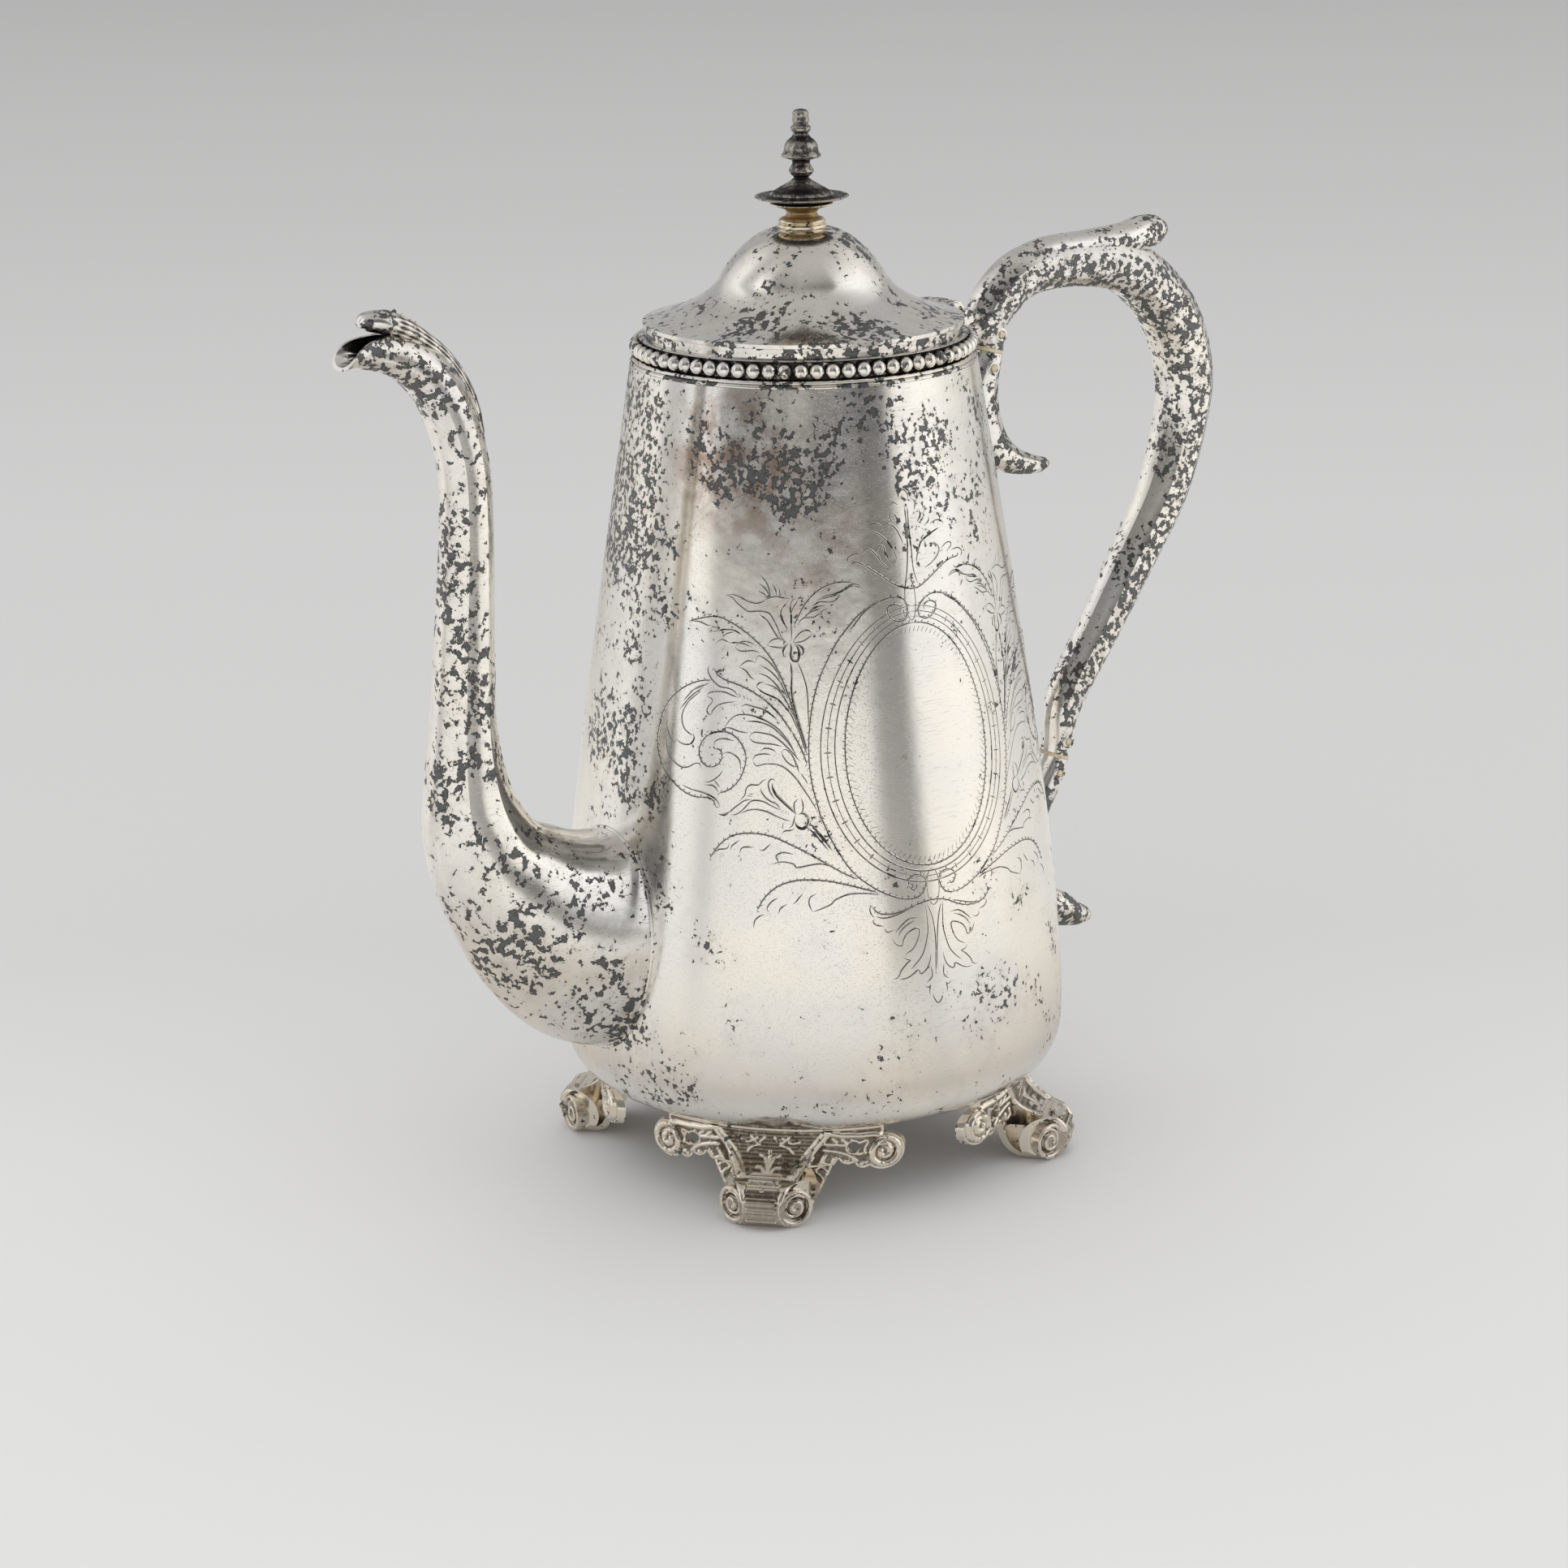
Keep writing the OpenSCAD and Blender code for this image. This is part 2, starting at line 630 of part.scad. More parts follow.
// Scrolls at the ends of the wings, facing straight out from the pot's axis
module wing_scrolls() {
    for (side = [-1, 1])
        rotate([0, 0, side * asin((foot_half_w - wing_r) / wing_shell_r)])
            translate([wing_shell_r - 0.1, 0, wing_z])
                rotate([0, 90, 0])
                    scroll(wing_r * 0.84, 0.7, 1);
}

// Ridges across the knuckle between the toe's scrolls
module knuckle_ridges() {
    for (a = [-28 : 26 : 102])
        translate([toe_x + toe_r * cos(a), 0, toe_z + toe_r * sin(a)])
            rotate([90, 0, 0])
                cylinder(r = toe_r * 0.12, h = nose_half_w * 1.7, center = true, $fn = 24);
}

module foot(turn) {
    color(silver)
        difference() {
            rotate([0, 0, turn])
                difference() {
                    union() {
                        intersection() {
                            wing_shell();
                            from_front() wings_front();
                        }
                        intersection() {
                            from_side() closed_strip(leg_back, foot_t);
                            from_front() leg_front();
                        }
                        intersection() {
                            from_side() panel_side(0);
                            from_front() panel_front(0);
                        }
                        intersection() {
                            from_side() panel_side(0.8);
                            from_front() difference() {
                                panel_front(1.1);
                                panel_front(0);
                            }
                        }
                        toe();
                        toe_scrolls();
                        wing_scrolls();
                        knuckle_ridges();
                    }
                    translate([0, 0, -far / 2]) cube([far, far, far], center = true);
                }
            body_space(seat_gap);
        }
}

module foot_handle_front() foot(-45);
module foot_handle_back() foot(45);
module foot_spout_back() foot(135);
module foot_spout_front() foot(-135);

// ---------- hinge ----------

knuckle_w = barrel_w / 5;

// One leaf's knuckles; those of the other leaf stand between them
module knuckles(which, bore) {
    rotate([90, 0, 0])
        for (i = which)
            translate([0, 0, (i - 2) * knuckle_w])
                difference() {
                    cylinder(r = barrel_r, h = knuckle_w - knuckle_gap, center = true, $fn = 48);
                    cylinder(r = bore, h = knuckle_w, center = true, $fn = 48);
                }
}

// Side outline of a leaf swept across each of its knuckles, and clear of the others
module leaf_bars(which, outline) {
    rotate([90, 0, 0])
        for (i = which)
            translate([0, 0, (i - 2) * knuckle_w])
                linear_extrude(knuckle_w - knuckle_gap, center = true)
                    difference() {
                        polygon(outline);
                        circle(r = hinge_pin_r + 0.4);
                    }
}

module hinge_body_leaf() {
    out = hinge_x - collar_r;
    low = bead_band_top + 0.05 - hinge_z;
    high = low + 0.75;
    color(silver)
        translate([hinge_x, 0, hinge_z])
            difference() {
                union() {
                    knuckles([0, 2, 4], hinge_pin_r);
                    leaf_bars([0, 2, 4], [[-out - 1, low], [-barrel_r - 0.2, low],
                        [-barrel_r * 0.7, 0.1], [-barrel_r * 0.5, high], [-out - 1, high]]);
                    translate([-out - 1, -barrel_w / 2, low])
                        cube([out + 1 - barrel_r - 0.7, barrel_w, high - low]);
                }
                translate([-hinge_x, 0, -far / 2])
                    cylinder(r = collar_r + 0.35 + seat_gap, h = far, $fn = 96);
            }
}

module hinge_pin() {
    color(dark_silver)
        translate([hinge_x, 0, hinge_z])
            rotate([90, 0, 0])
                cylinder(r = hinge_pin_r, h = barrel_w - knuckle_gap, center = true, $fn = 48);
}

module lid_hinge_leaf() {
    top = lid_rim_z + lid_wall - hinge_z;
    back = hinge_x - lid_r + 3;
    color(silver)
        difference() {
            translate([hinge_x, 0, hinge_z])
                union() {
                    knuckles([1, 3], hinge_pin_r + pin_clearance);
                    leaf_bars([1, 3], [[-back, top - 0.8], [-barrel_r - 1, top - 0.9],
                        [-barrel_r * 0.8, 0.3], [barrel_r * 0.5, barrel_r * 0.8],
                        [-0.4, top - 0.3], [-barrel_r, top], [-back, top]]);
                    translate([-back, -barrel_w / 2, top - 0.8])
                        cube([back - barrel_r - 0.8, barrel_w, 0.8]);
                }
            lid_space(seat_gap);
        }
}

// ---------- lid ----------

// Outline of the lid from its rim to the edge of its flat crown, drawn in by inset
function lid_outline(inset) =
    let (
        top = crown_z - inset, rim = lid_rim_z + lid_wall - inset,
        bend = [lid_r - 18.7 - inset, rim + lid_h * 0.47],
        up = [-2, 4.1] * lid_h / 22
    )
    concat(
        bezier_points([lid_r, rim], [lid_r - 6.1, rim + lid_h * 0.05],
            bend - up * 1.25, bend, 9),
        [for (i = [1 : 8]) bezier(bend, bend + up,
            [12.6 - inset, top - 0.9], [finial_foot_r + 0.4, top], i / 8)]
    );

// Everything under the lid's outer skin, down to its rim
module lid_space(grow = 0) {
    rotate_extrude()
        polygon(concat([[0, lid_rim_z - grow], [lid_r + grow, lid_rim_z - grow]],
            [for (p = lid_outline(-grow)) [p.x + grow, p.y]], [[0, crown_z + grow]]));
}

module lid() {
    inner = lid_outline(lid_wall);
    color(pale_silver)
        difference() {
            rotate_extrude()
                polygon(concat(
                    lid_outline(0), [[stud_r + tenon_gap, crown_z], [stud_r + tenon_gap, crown_z - lid_wall]],
                    [for (i = [len(inner) - 1 : -1 : 0]) inner[i]]
                ));
        }
}

module lid_bezel() {
    top = lid_rim_z;
    color(silver)
        rotate_extrude()
            polygon([
                [bezel_r - bezel_t, top - bezel_depth], [bezel_r, top - bezel_depth],
                [bezel_r, top - seat_gap], [bezel_r - bezel_t, top - seat_gap]
            ]);
}

// ---------- finial ----------

foot_top_z = crown_z + 6.4;          // where the wide disc sits on the finial's foot
bore_r = stud_r + tenon_gap;

module finial_base() {
    z = crown_z;
    r = finial_foot_r;
    color(dark_silver)
        rotate_extrude()
            polygon([
                [bore_r, z], [r, z], [r, z + 0.8], [r - 0.5, z + 1.2], [r - 0.1, z + 1.6],
                [r - 0.5, z + 2.2], [r - 1.9, z + 2.7], [r - 2.3, z + 3.6], [r - 1.7, z + 4.5],
                [r + 0.6, z + 5.2], [r + 1.8, z + 5.7], [r + 1.6, foot_top_z - 0.3],
                [r, foot_top_z], [bore_r, foot_top_z]
            ]);
}

module finial_disc() {
    z = foot_top_z;
    r = finial_disc_r;
    color(silver)
        rotate_extrude()
            polygon([
                [bore_r, z], [finial_foot_r, z], [r - 0.6, z + 0.7], [r, z + 1.05], [r - 0.3, z + 1.35],
                [r - 1.2, z + 1.1], [r - 3, z + 1], [r - 3.2, z + 1.5], [bore_r, z + 1.5]
            ]);
}

module finial_knop() {
    z = foot_top_z + 1.5;
    h = knop_h - 1.5;
    r = knop_r;
    color(dark_silver)
        rotate_extrude()
            polygon(concat(
                [[0, crown_z - lid_wall - 3.4], [stud_r, crown_z - lid_wall - 3.4], [stud_r, z],
                 [r + 3, z], [r + 1.6, z + 0.05 * h], [r - 2.2, z + 0.16 * h], [r - 3.2, z + 0.2 * h],
                 [r - 2.3, z + 0.235 * h], [r - 1.75, z + 0.275 * h], [r - 2.2, z + 0.315 * h],
                 [r - 2.75, z + 0.36 * h], [r - 2.7, z + 0.4 * h], [r - 0.3, z + 0.435 * h], [r, z + 0.455 * h],
                 [r - 0.3, z + 0.48 * h]],
                bezier_points([r - 0.7, z + 0.5 * h], [r - 0.4, z + 0.62 * h],
                    [r - 3.1, z + 0.66 * h], [r - 3.1, z + 0.71 * h], 5),
                [[r - 2.4, z + 0.75 * h], [r - 2.35, z + 0.785 * h], [r - 3.1, z + 0.815 * h],
                 [r - 3, z + 0.835 * h], [r - 2.7, z + 0.86 * h], [r - 2.9, z + 0.895 * h],
                 [r - 3, z + 0.91 * h], [r - 2.85, z + 0.95 * h], [r - 3.4, z + 0.985 * h], [0, z + h]]
            ));
}

module finial_nut() {
    color(dark_silver)
        translate([0, 0, crown_z - lid_wall - 2.2])
            difference() {
                cylinder(r = 3.2, h = 2.2, $fn = 6);
                translate([0, 0, -1]) cylinder(r = stud_r, h = 4, $fn = 48);
            }
}

vessel();
base_disc();
collar();
bead_band();
spout();
spout_leaf();
upper_socket();
lower_socket();
upper_insulator();
lower_insulator();
handle();
upper_pins();
lower_pins();
foot_spout_front();
foot_spout_back();
foot_handle_front();
foot_handle_back();
hinge_body_leaf();
hinge_pin();
lid();
lid_bezel();
lid_hinge_leaf();
finial_base();
finial_disc();
finial_knop();
finial_nut();
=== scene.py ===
"""Dressing of the silver-plated coffee pot: pear body, swan-neck spout, scroll handle, domed lid."""
import math

import bmesh
import bpy
import numpy as np
from mathutils import Matrix, Vector
from mathutils.bvhtree import BVHTree


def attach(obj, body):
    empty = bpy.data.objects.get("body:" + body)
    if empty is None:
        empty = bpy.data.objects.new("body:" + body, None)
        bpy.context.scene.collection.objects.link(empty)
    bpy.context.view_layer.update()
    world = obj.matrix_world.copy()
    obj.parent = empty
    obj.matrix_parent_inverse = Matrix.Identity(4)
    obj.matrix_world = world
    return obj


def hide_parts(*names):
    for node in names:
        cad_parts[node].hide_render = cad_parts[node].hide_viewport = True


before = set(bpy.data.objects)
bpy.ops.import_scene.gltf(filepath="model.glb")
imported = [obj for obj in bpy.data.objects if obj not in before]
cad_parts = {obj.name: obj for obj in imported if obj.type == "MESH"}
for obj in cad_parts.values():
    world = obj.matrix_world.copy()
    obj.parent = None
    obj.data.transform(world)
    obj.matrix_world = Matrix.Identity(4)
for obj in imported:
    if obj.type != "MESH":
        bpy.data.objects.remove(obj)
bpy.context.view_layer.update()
MM = 0.001
scene = bpy.context.scene

# ---------------------------------------------------------------- camera

VIEW_DISTANCE = 975.0
VIEW_HEIGHT = 376.0
PITCH = math.radians(16.17)
PAN = math.radians(-0.378)
ROLL = math.radians(-0.908)
FOCAL = 5034.0 / 1932.0  # as a share of the frame's width
SENSOR = 36.0
# Turn from the camera's directions to the pot's, whose spout points along -X
TO_POT = Matrix(((0.8355, 0.5496, 0.0), (-0.5496, 0.8355, 0.0), (0.0, 0.0, 1.0)))


def add_object(name, data):
    thing = bpy.data.objects.new(name, data)
    scene.collection.objects.link(thing)
    return thing


def add_camera():
    level = Vector((math.sin(PAN), math.cos(PAN), 0.0))
    right = Vector((math.cos(PAN), -math.sin(PAN), 0.0))
    up = level * math.sin(PITCH) + Vector((0.0, 0.0, math.cos(PITCH)))
    look = level * math.cos(PITCH) - Vector((0.0, 0.0, math.sin(PITCH)))
    across = right * math.cos(ROLL) + up * math.sin(ROLL)
    upright = up * math.cos(ROLL) - right * math.sin(ROLL)
    turn = Matrix((TO_POT @ across, TO_POT @ upright, TO_POT @ (look * -1.0))).transposed()
    data = bpy.data.cameras.new("camera")
    data.sensor_width = SENSOR
    data.sensor_height = SENSOR
    data.lens = SENSOR * FOCAL
    data.clip_start = 0.05
    data.clip_end = 60.0
    eye = TO_POT @ Vector((0.0, -VIEW_DISTANCE, VIEW_HEIGHT)) * MM
    camera = add_object("camera", data)
    camera.matrix_world = Matrix.Translation(eye) @ turn.to_4x4()
    scene.camera = camera
    return math.atan2(eye.y, eye.x)


CAMERA_AZIMUTH = add_camera()

# ---------------------------------------------------------------- shader helpers


def node(tree, kind, **sets):
    made = tree.nodes.new(kind)
    for key, value in sets.items():
        setattr(made, key, value)
    return made


def feed(tree, socket, value):
    if value is None:
        return
    if isinstance(value, bpy.types.NodeSocket):
        tree.links.new(value, socket)
    else:
        socket.default_value = value


def calc(tree, operation, a, b=None, c=None, clamp=False):
    made = node(tree, "ShaderNodeMath", operation=operation, use_clamp=clamp)
    for socket, value in zip(made.inputs, (a, b, c)):
        feed(tree, socket, value)
    return made.outputs[0]


def spread(tree, value, low, high, to_low=0.0, to_high=1.0):
    made = node(tree, "ShaderNodeMapRange", interpolation_type="SMOOTHSTEP")
    for key, given in (("Value", value), ("From Min", low), ("From Max", high),
                       ("To Min", to_low), ("To Max", to_high)):
        feed(tree, made.inputs[key], given)
    return made.outputs[0]


def vector(tree, operation, a, b=None, scale=None):
    made = node(tree, "ShaderNodeVectorMath", operation=operation)
    feed(tree, made.inputs[0], a)
    feed(tree, made.inputs[1], b)
    if scale is not None:
        feed(tree, made.inputs["Scale"], scale)
    return made.outputs["Value" if operation in ("LENGTH", "DISTANCE") else "Vector"]


def mix(tree, factor, a, b, blend="MIX"):
    made = node(tree, "ShaderNodeMix", data_type="RGBA", blend_type=blend)
    for key, given in (("Factor", factor), ("A", a), ("B", b)):
        feed(tree, made.inputs[key], given)
    return made.outputs["Result"]


def noise(tree, place, detail=4.0, roughness=0.55, distortion=0.0, scale=1.0):
    made = node(tree, "ShaderNodeTexNoise")
    for key, given in (("Vector", place), ("Scale", scale), ("Detail", detail),
                       ("Roughness", roughness), ("Distortion", distortion)):
        feed(tree, made.inputs[key], given)
    return made.outputs["Fac"]


def ramp(tree, source, stops, interpolation="LINEAR"):
    made = node(tree, "ShaderNodeValToRGB")
    band = made.color_ramp
    band.interpolation = interpolation
    while len(band.elements) < len(stops):
        band.elements.new(0.5)
    for element, (place, value) in zip(band.elements, stops):
        element.position = place
        element.color = value if isinstance(value, tuple) else (value, value, value, 1.0)
    tree.links.new(source, made.inputs[0])
    return made.outputs[0]


def new_group(name, takes, gives, kind="ShaderNodeTree"):
    """An empty group with named inputs and outputs, and the two nodes that carry them"""
    tree = bpy.data.node_groups.new(name, kind)
    for label, what, value in takes:
        socket = tree.interface.new_socket(label, in_out="INPUT", socket_type=what)
        if value is not None:
            socket.default_value = value
    for label, what in gives:
        tree.interface.new_socket(label, in_out="OUTPUT", socket_type=what)
    return tree, node(tree, "NodeGroupInput").outputs, node(tree, "NodeGroupOutput").inputs


def new_material(name):
    """A material with its tree and its main shader"""
    material = bpy.data.materials.new(name)
    material.use_nodes = True
    return material, material.node_tree, material.node_tree.nodes["Principled BSDF"]


def place_in_mm(tree):
    return vector(tree, "SCALE", node(tree, "ShaderNodeTexCoord").outputs["Object"], scale=1000.0)


def split_up(tree, direction):
    made = node(tree, "ShaderNodeSeparateXYZ")
    tree.links.new(direction, made.inputs[0])
    return made.outputs


def add_bump(tree, shader, height, depth):
    """Bump on a shader from a height between 0 and 1, with its depth in mm"""
    bump = node(tree, "ShaderNodeBump")
    bump.inputs["Distance"].default_value = depth * MM
    tree.links.new(height, bump.inputs["Height"])
    tree.links.new(bump.outputs[0], shader.inputs["Normal"])


def use_group(tree, group, **values):
    made = node(tree, "ShaderNodeGroup", node_tree=group)
    for key, value in values.items():
        feed(tree, made.inputs[key.replace("_", " ")], value)
    return made.outputs


# ---------------------------------------------------------------- studio


def degrees_round(angle):
    """Place on the wall of a direction, in degrees to the right of the camera as seen from the pot"""
    return 0.5 + angle / 360.0


WHITE = (1.0, 1.0, 1.0, 1.0)
# Brightness of the studio round the pot, from straight behind it by way of the camera: low down, where
# the pale sweep reaches out to narrow dark gaps, and higher up, with a soft box at each side
LOW_WALL = [(degrees_round(angle), light) for angle, light in (
    (-180, 0.50), (-152, 0.55), (-138, 0.70), (-120, 0.84), (-106, 0.96), (-95, 0.58), (-86, 0.62),
    (-74, 1.08), (-60, 0.98), (-50, 0.66), (-42, 0.92), (-20, 0.98), (12, 1.02), (28, 0.94), (38, 0.36),
    (50, 0.30), (59, 1.0), (88, 1.1), (104, 0.92), (126, 0.78), (146, 0.56), (180, 0.50))]
HIGH_WALL = [(degrees_round(angle), light) for angle, light in (
    (-180, 0.46), (-150, 0.42), (-132, 0.70), (-112, 1.0), (-96, 0.55), (-88, 0.60), (-76, 1.15), (-62, 1.0),
    (-52, 0.30), (-40, 0.18), (-14, 0.26), (-4, 0.34), (8, 0.16), (36, 0.13), (50, 0.20), (60, 1.0),
    (78, 1.15), (104, 1.05), (128, 0.80), (144, 0.46), (180, 0.46))]


def round_about(tree, direction):
    """Place round the studio of a direction, and the direction's three shares"""
    turned = node(tree, "ShaderNodeVectorRotate", rotation_type="Z_AXIS")
    turned.inputs["Angle"].default_value = -CAMERA_AZIMUTH
    tree.links.new(direction, turned.inputs["Vector"])
    share = split_up(tree, turned.outputs[0])
    angle = calc(tree, "ARCTAN2", share["Y"], share["X"])
    return calc(tree, "MULTIPLY_ADD", angle, 1.0 / (2.0 * math.pi), 0.5), share


def grey(value, warm=0.0):
    return (value * (1 + warm), value, value * (1 - warm), 1.0)


OVERHEAD = (0.50, 0.49, 0.475, 1.0)
# Paper the pot stands on: distance from the pot towards the camera (negative) or away, in metres
PAPER = [(-0.45, grey(0.80, 0.004)), (-0.02, grey(0.76, 0.004)), (0.16, grey(0.66, 0.003)),
         (0.7, grey(0.63, 0.002)), (1.6, grey(0.54, 0.002)), (3.6, grey(0.42, 0.002))]


def add_world():
    world = bpy.data.worlds.new("studio")
    scene.world = world
    world.use_nodes = True
    tree = world.node_tree
    tree.nodes.clear()
    out = node(tree, "ShaderNodeOutputWorld")
    back = node(tree, "ShaderNodeBackground")
    around, share = round_about(tree, node(tree, "ShaderNodeTexCoord").outputs["Generated"])
    low, high = ramp(tree, around, LOW_WALL, "EASE"), ramp(tree, around, HIGH_WALL, "EASE")
    room = mix(tree, spread(tree, share["Z"], 0.03, 0.085), low, high)
    room = mix(tree, spread(tree, share["Z"], 0.55, 0.97), room, OVERHEAD)
    # matt surfaces take the studio's even light; polished metal sees the room itself
    glossy = node(tree, "ShaderNodeLightPath").outputs["Is Glossy Ray"]
    light = mix(tree, glossy, WHITE, room)
    # the backdrop has the tone of the far paper where they meet
    seen = mix(tree, spread(tree, share["X"], -1.0, 1.0), PAPER[-1][1], PAPER[0][1])
    camera_ray = node(tree, "ShaderNodeLightPath").outputs["Is Camera Ray"]
    tree.links.new(mix(tree, camera_ray, light, seen), back.inputs["Color"])
    tree.links.new(back.outputs[0], out.inputs[0])


FLOOR_HALF = 9.0
PAPER_SCALE = 0.2  # the paper's tones run over 1 / PAPER_SCALE metres


def add_floor():
    size = FLOOR_HALF
    mesh = bpy.data.meshes.new("floor")
    mesh.from_pydata([(-size, -size, 0), (size, -size, 0), (size, size, 0), (-size, size, 0)], [],
                     [(0, 1, 2, 3)])
    floor = add_object("floor", mesh)
    material, tree, shader = new_material("floor_paper")
    place = node(tree, "ShaderNodeTexCoord")
    around, share = round_about(tree, place.outputs["Object"])
    away = calc(tree, "MULTIPLY_ADD", share["X"], -PAPER_SCALE, PAPER_SCALE)
    shade = ramp(tree, away, [(PAPER_SCALE + PAPER_SCALE * far, tone) for far, tone in PAPER])
    tree.links.new(shade, shader.inputs["Base Color"])
    shader.inputs["Roughness"].default_value = 0.9
    shader.inputs["Specular IOR Level"].default_value = 0.1
    # polished metal sees the paper as a glow, darker close to the pot as a painted shadow and brightening
    # outwards, with the wall's bands carried down on to it
    reach = vector(tree, "LENGTH", place.outputs["Object"])
    sweep = ramp(tree, reach, [(0.08, (0.50, 0.47, 0.43, 1.0)), (0.15, (0.66, 0.63, 0.59, 1.0)),
                               (0.26, (0.86, 0.85, 0.82, 1.0)), (0.6, (0.98, 0.97, 0.95, 1.0))])
    bands = mix(tree, spread(tree, reach, 0.15, 0.8, 0.1, 0.9), WHITE, ramp(tree, around, LOW_WALL, "EASE"))
    glow = node(tree, "ShaderNodeEmission")
    tree.links.new(mix(tree, 1.0, sweep, bands, "MULTIPLY"), glow.inputs["Color"])
    glossy = node(tree, "ShaderNodeLightPath").outputs["Is Glossy Ray"]
    far = calc(tree, "MULTIPLY", spread(tree, reach, 0.06, 0.13), glossy)
    join = node(tree, "ShaderNodeMixShader")
    for socket, source in zip(join.inputs, (far, shader.outputs[0], glow.outputs[0])):
        tree.links.new(source, socket)
    tree.links.new(join.outputs[0], tree.nodes["Material Output"].inputs["Surface"])
    mesh.materials.append(material)


add_world()
add_floor()

# ---------------------------------------------------------------- finishes

FLOAT = "NodeSocketFloat"
VECTOR = "NodeSocketVector"


def tarnish_group():
    """Sulphide film on silver: crisp-edged lacy patches, fine specks, a thin veil and coppery wear"""
    tree, given, out = new_group(
        "tarnish",
        [("Place", VECTOR, None), ("Amount", FLOAT, 0.3), ("Patch size", FLOAT, 5.0), ("Specks", FLOAT, 0.3)],
        [("Film", FLOAT), ("Depth", FLOAT), ("Veil", FLOAT), ("Copper", FLOAT)])
    patch = vector(tree, "SCALE", given["Place"], scale=calc(tree, "DIVIDE", 1.0, given["Patch size"]))
    wide = noise(tree, given["Place"], 3.0, 0.55, scale=0.075)
    level = calc(tree, "MULTIPLY_ADD", calc(tree, "SUBTRACT", wide, 0.5), 1.7, given["Amount"])
    edge = calc(tree, "MAXIMUM", calc(tree, "MULTIPLY_ADD", level, -0.38, 0.70), 0.487)
    blot = noise(tree, patch, 6.0, 0.60, 0.1)
    patches = spread(tree, blot, edge, calc(tree, "ADD", edge, 0.02))
    dots = noise(tree, given["Place"], 3.0, 0.7, scale=1.1)
    limit = calc(tree, "MULTIPLY_ADD", calc(tree, "ADD", given["Specks"], calc(tree, "MULTIPLY", level, 0.4)),
                 -0.22, 0.79)
    specks = spread(tree, dots, limit, calc(tree, "ADD", limit, 0.02))
    tree.links.new(calc(tree, "MAXIMUM", patches, specks), out["Film"])
    tree.links.new(spread(tree, blot, edge, calc(tree, "ADD", edge, 0.10)), out["Depth"])
    veil = noise(tree, patch, 6.0, 0.65, scale=0.5)
    tree.links.new(calc(tree, "MULTIPLY", spread(tree, veil, 0.35, 0.7), level, clamp=True), out["Veil"])
    worn = noise(tree, vector(tree, "ADD", patch, (31.0, 7.0, 13.0)), 6.0, 0.65, scale=0.6)
    tree.links.new(spread(tree, worn, 0.64, 0.72), out["Copper"])
    return tree


def hairline_group():
    """Fine scratches from years of polishing, running several ways, and small dents"""
    tree, given, out = new_group(
        "hairlines", [("Place", VECTOR, None), ("Strength", FLOAT, 0.5)],
        [("Height", FLOAT), ("Rub", FLOAT)])
    total = None
    for turn, stretch in (((0.2, 0.5, 0.3), (0.10, 4.2, 4.2)), ((0.9, -0.4, 1.1), (0.14, 5.5, 5.5)),
                          ((-0.6, 1.2, 0.4), (0.08, 3.6, 3.6))):
        placed = node(tree, "ShaderNodeMapping")
        placed.inputs["Rotation"].default_value = turn
        placed.inputs["Scale"].default_value = stretch
        tree.links.new(given["Place"], placed.inputs["Vector"])
        line = spread(tree, noise(tree, placed.outputs[0], 1.0, 0.5), 0.66, 0.76)
        total = line if total is None else calc(tree, "MAXIMUM", total, line)
    dents = noise(tree, given["Place"], 2.0, 0.5, scale=0.16)
    pits = spread(tree, noise(tree, given["Place"], 2.0, 0.6, scale=1.7), 0.68, 0.74)
    marks = calc(tree, "MULTIPLY", calc(tree, "MAXIMUM", total, pits), given["Strength"])
    tree.links.new(calc(tree, "MULTIPLY_ADD", marks, -0.25, dents), out["Height"])
    tree.links.new(marks, out["Rub"])
    return tree


TARNISH = tarnish_group()
HAIRLINES = hairline_group()

# Tones of the silver, warm and cool, and of what lies on it
CREAM = (0.93, 0.885, 0.80, 1.0)
COOL = (0.86, 0.84, 0.81, 1.0)
FILM = (0.055, 0.053, 0.052, 1.0)
THICK = (0.165, 0.17, 0.168, 1.0)
VEIL = (0.50, 0.46, 0.41, 1.0)
COPPER = (0.36, 0.235, 0.165, 1.0)
RUBBED = (0.42, 0.40, 0.37, 1.0)


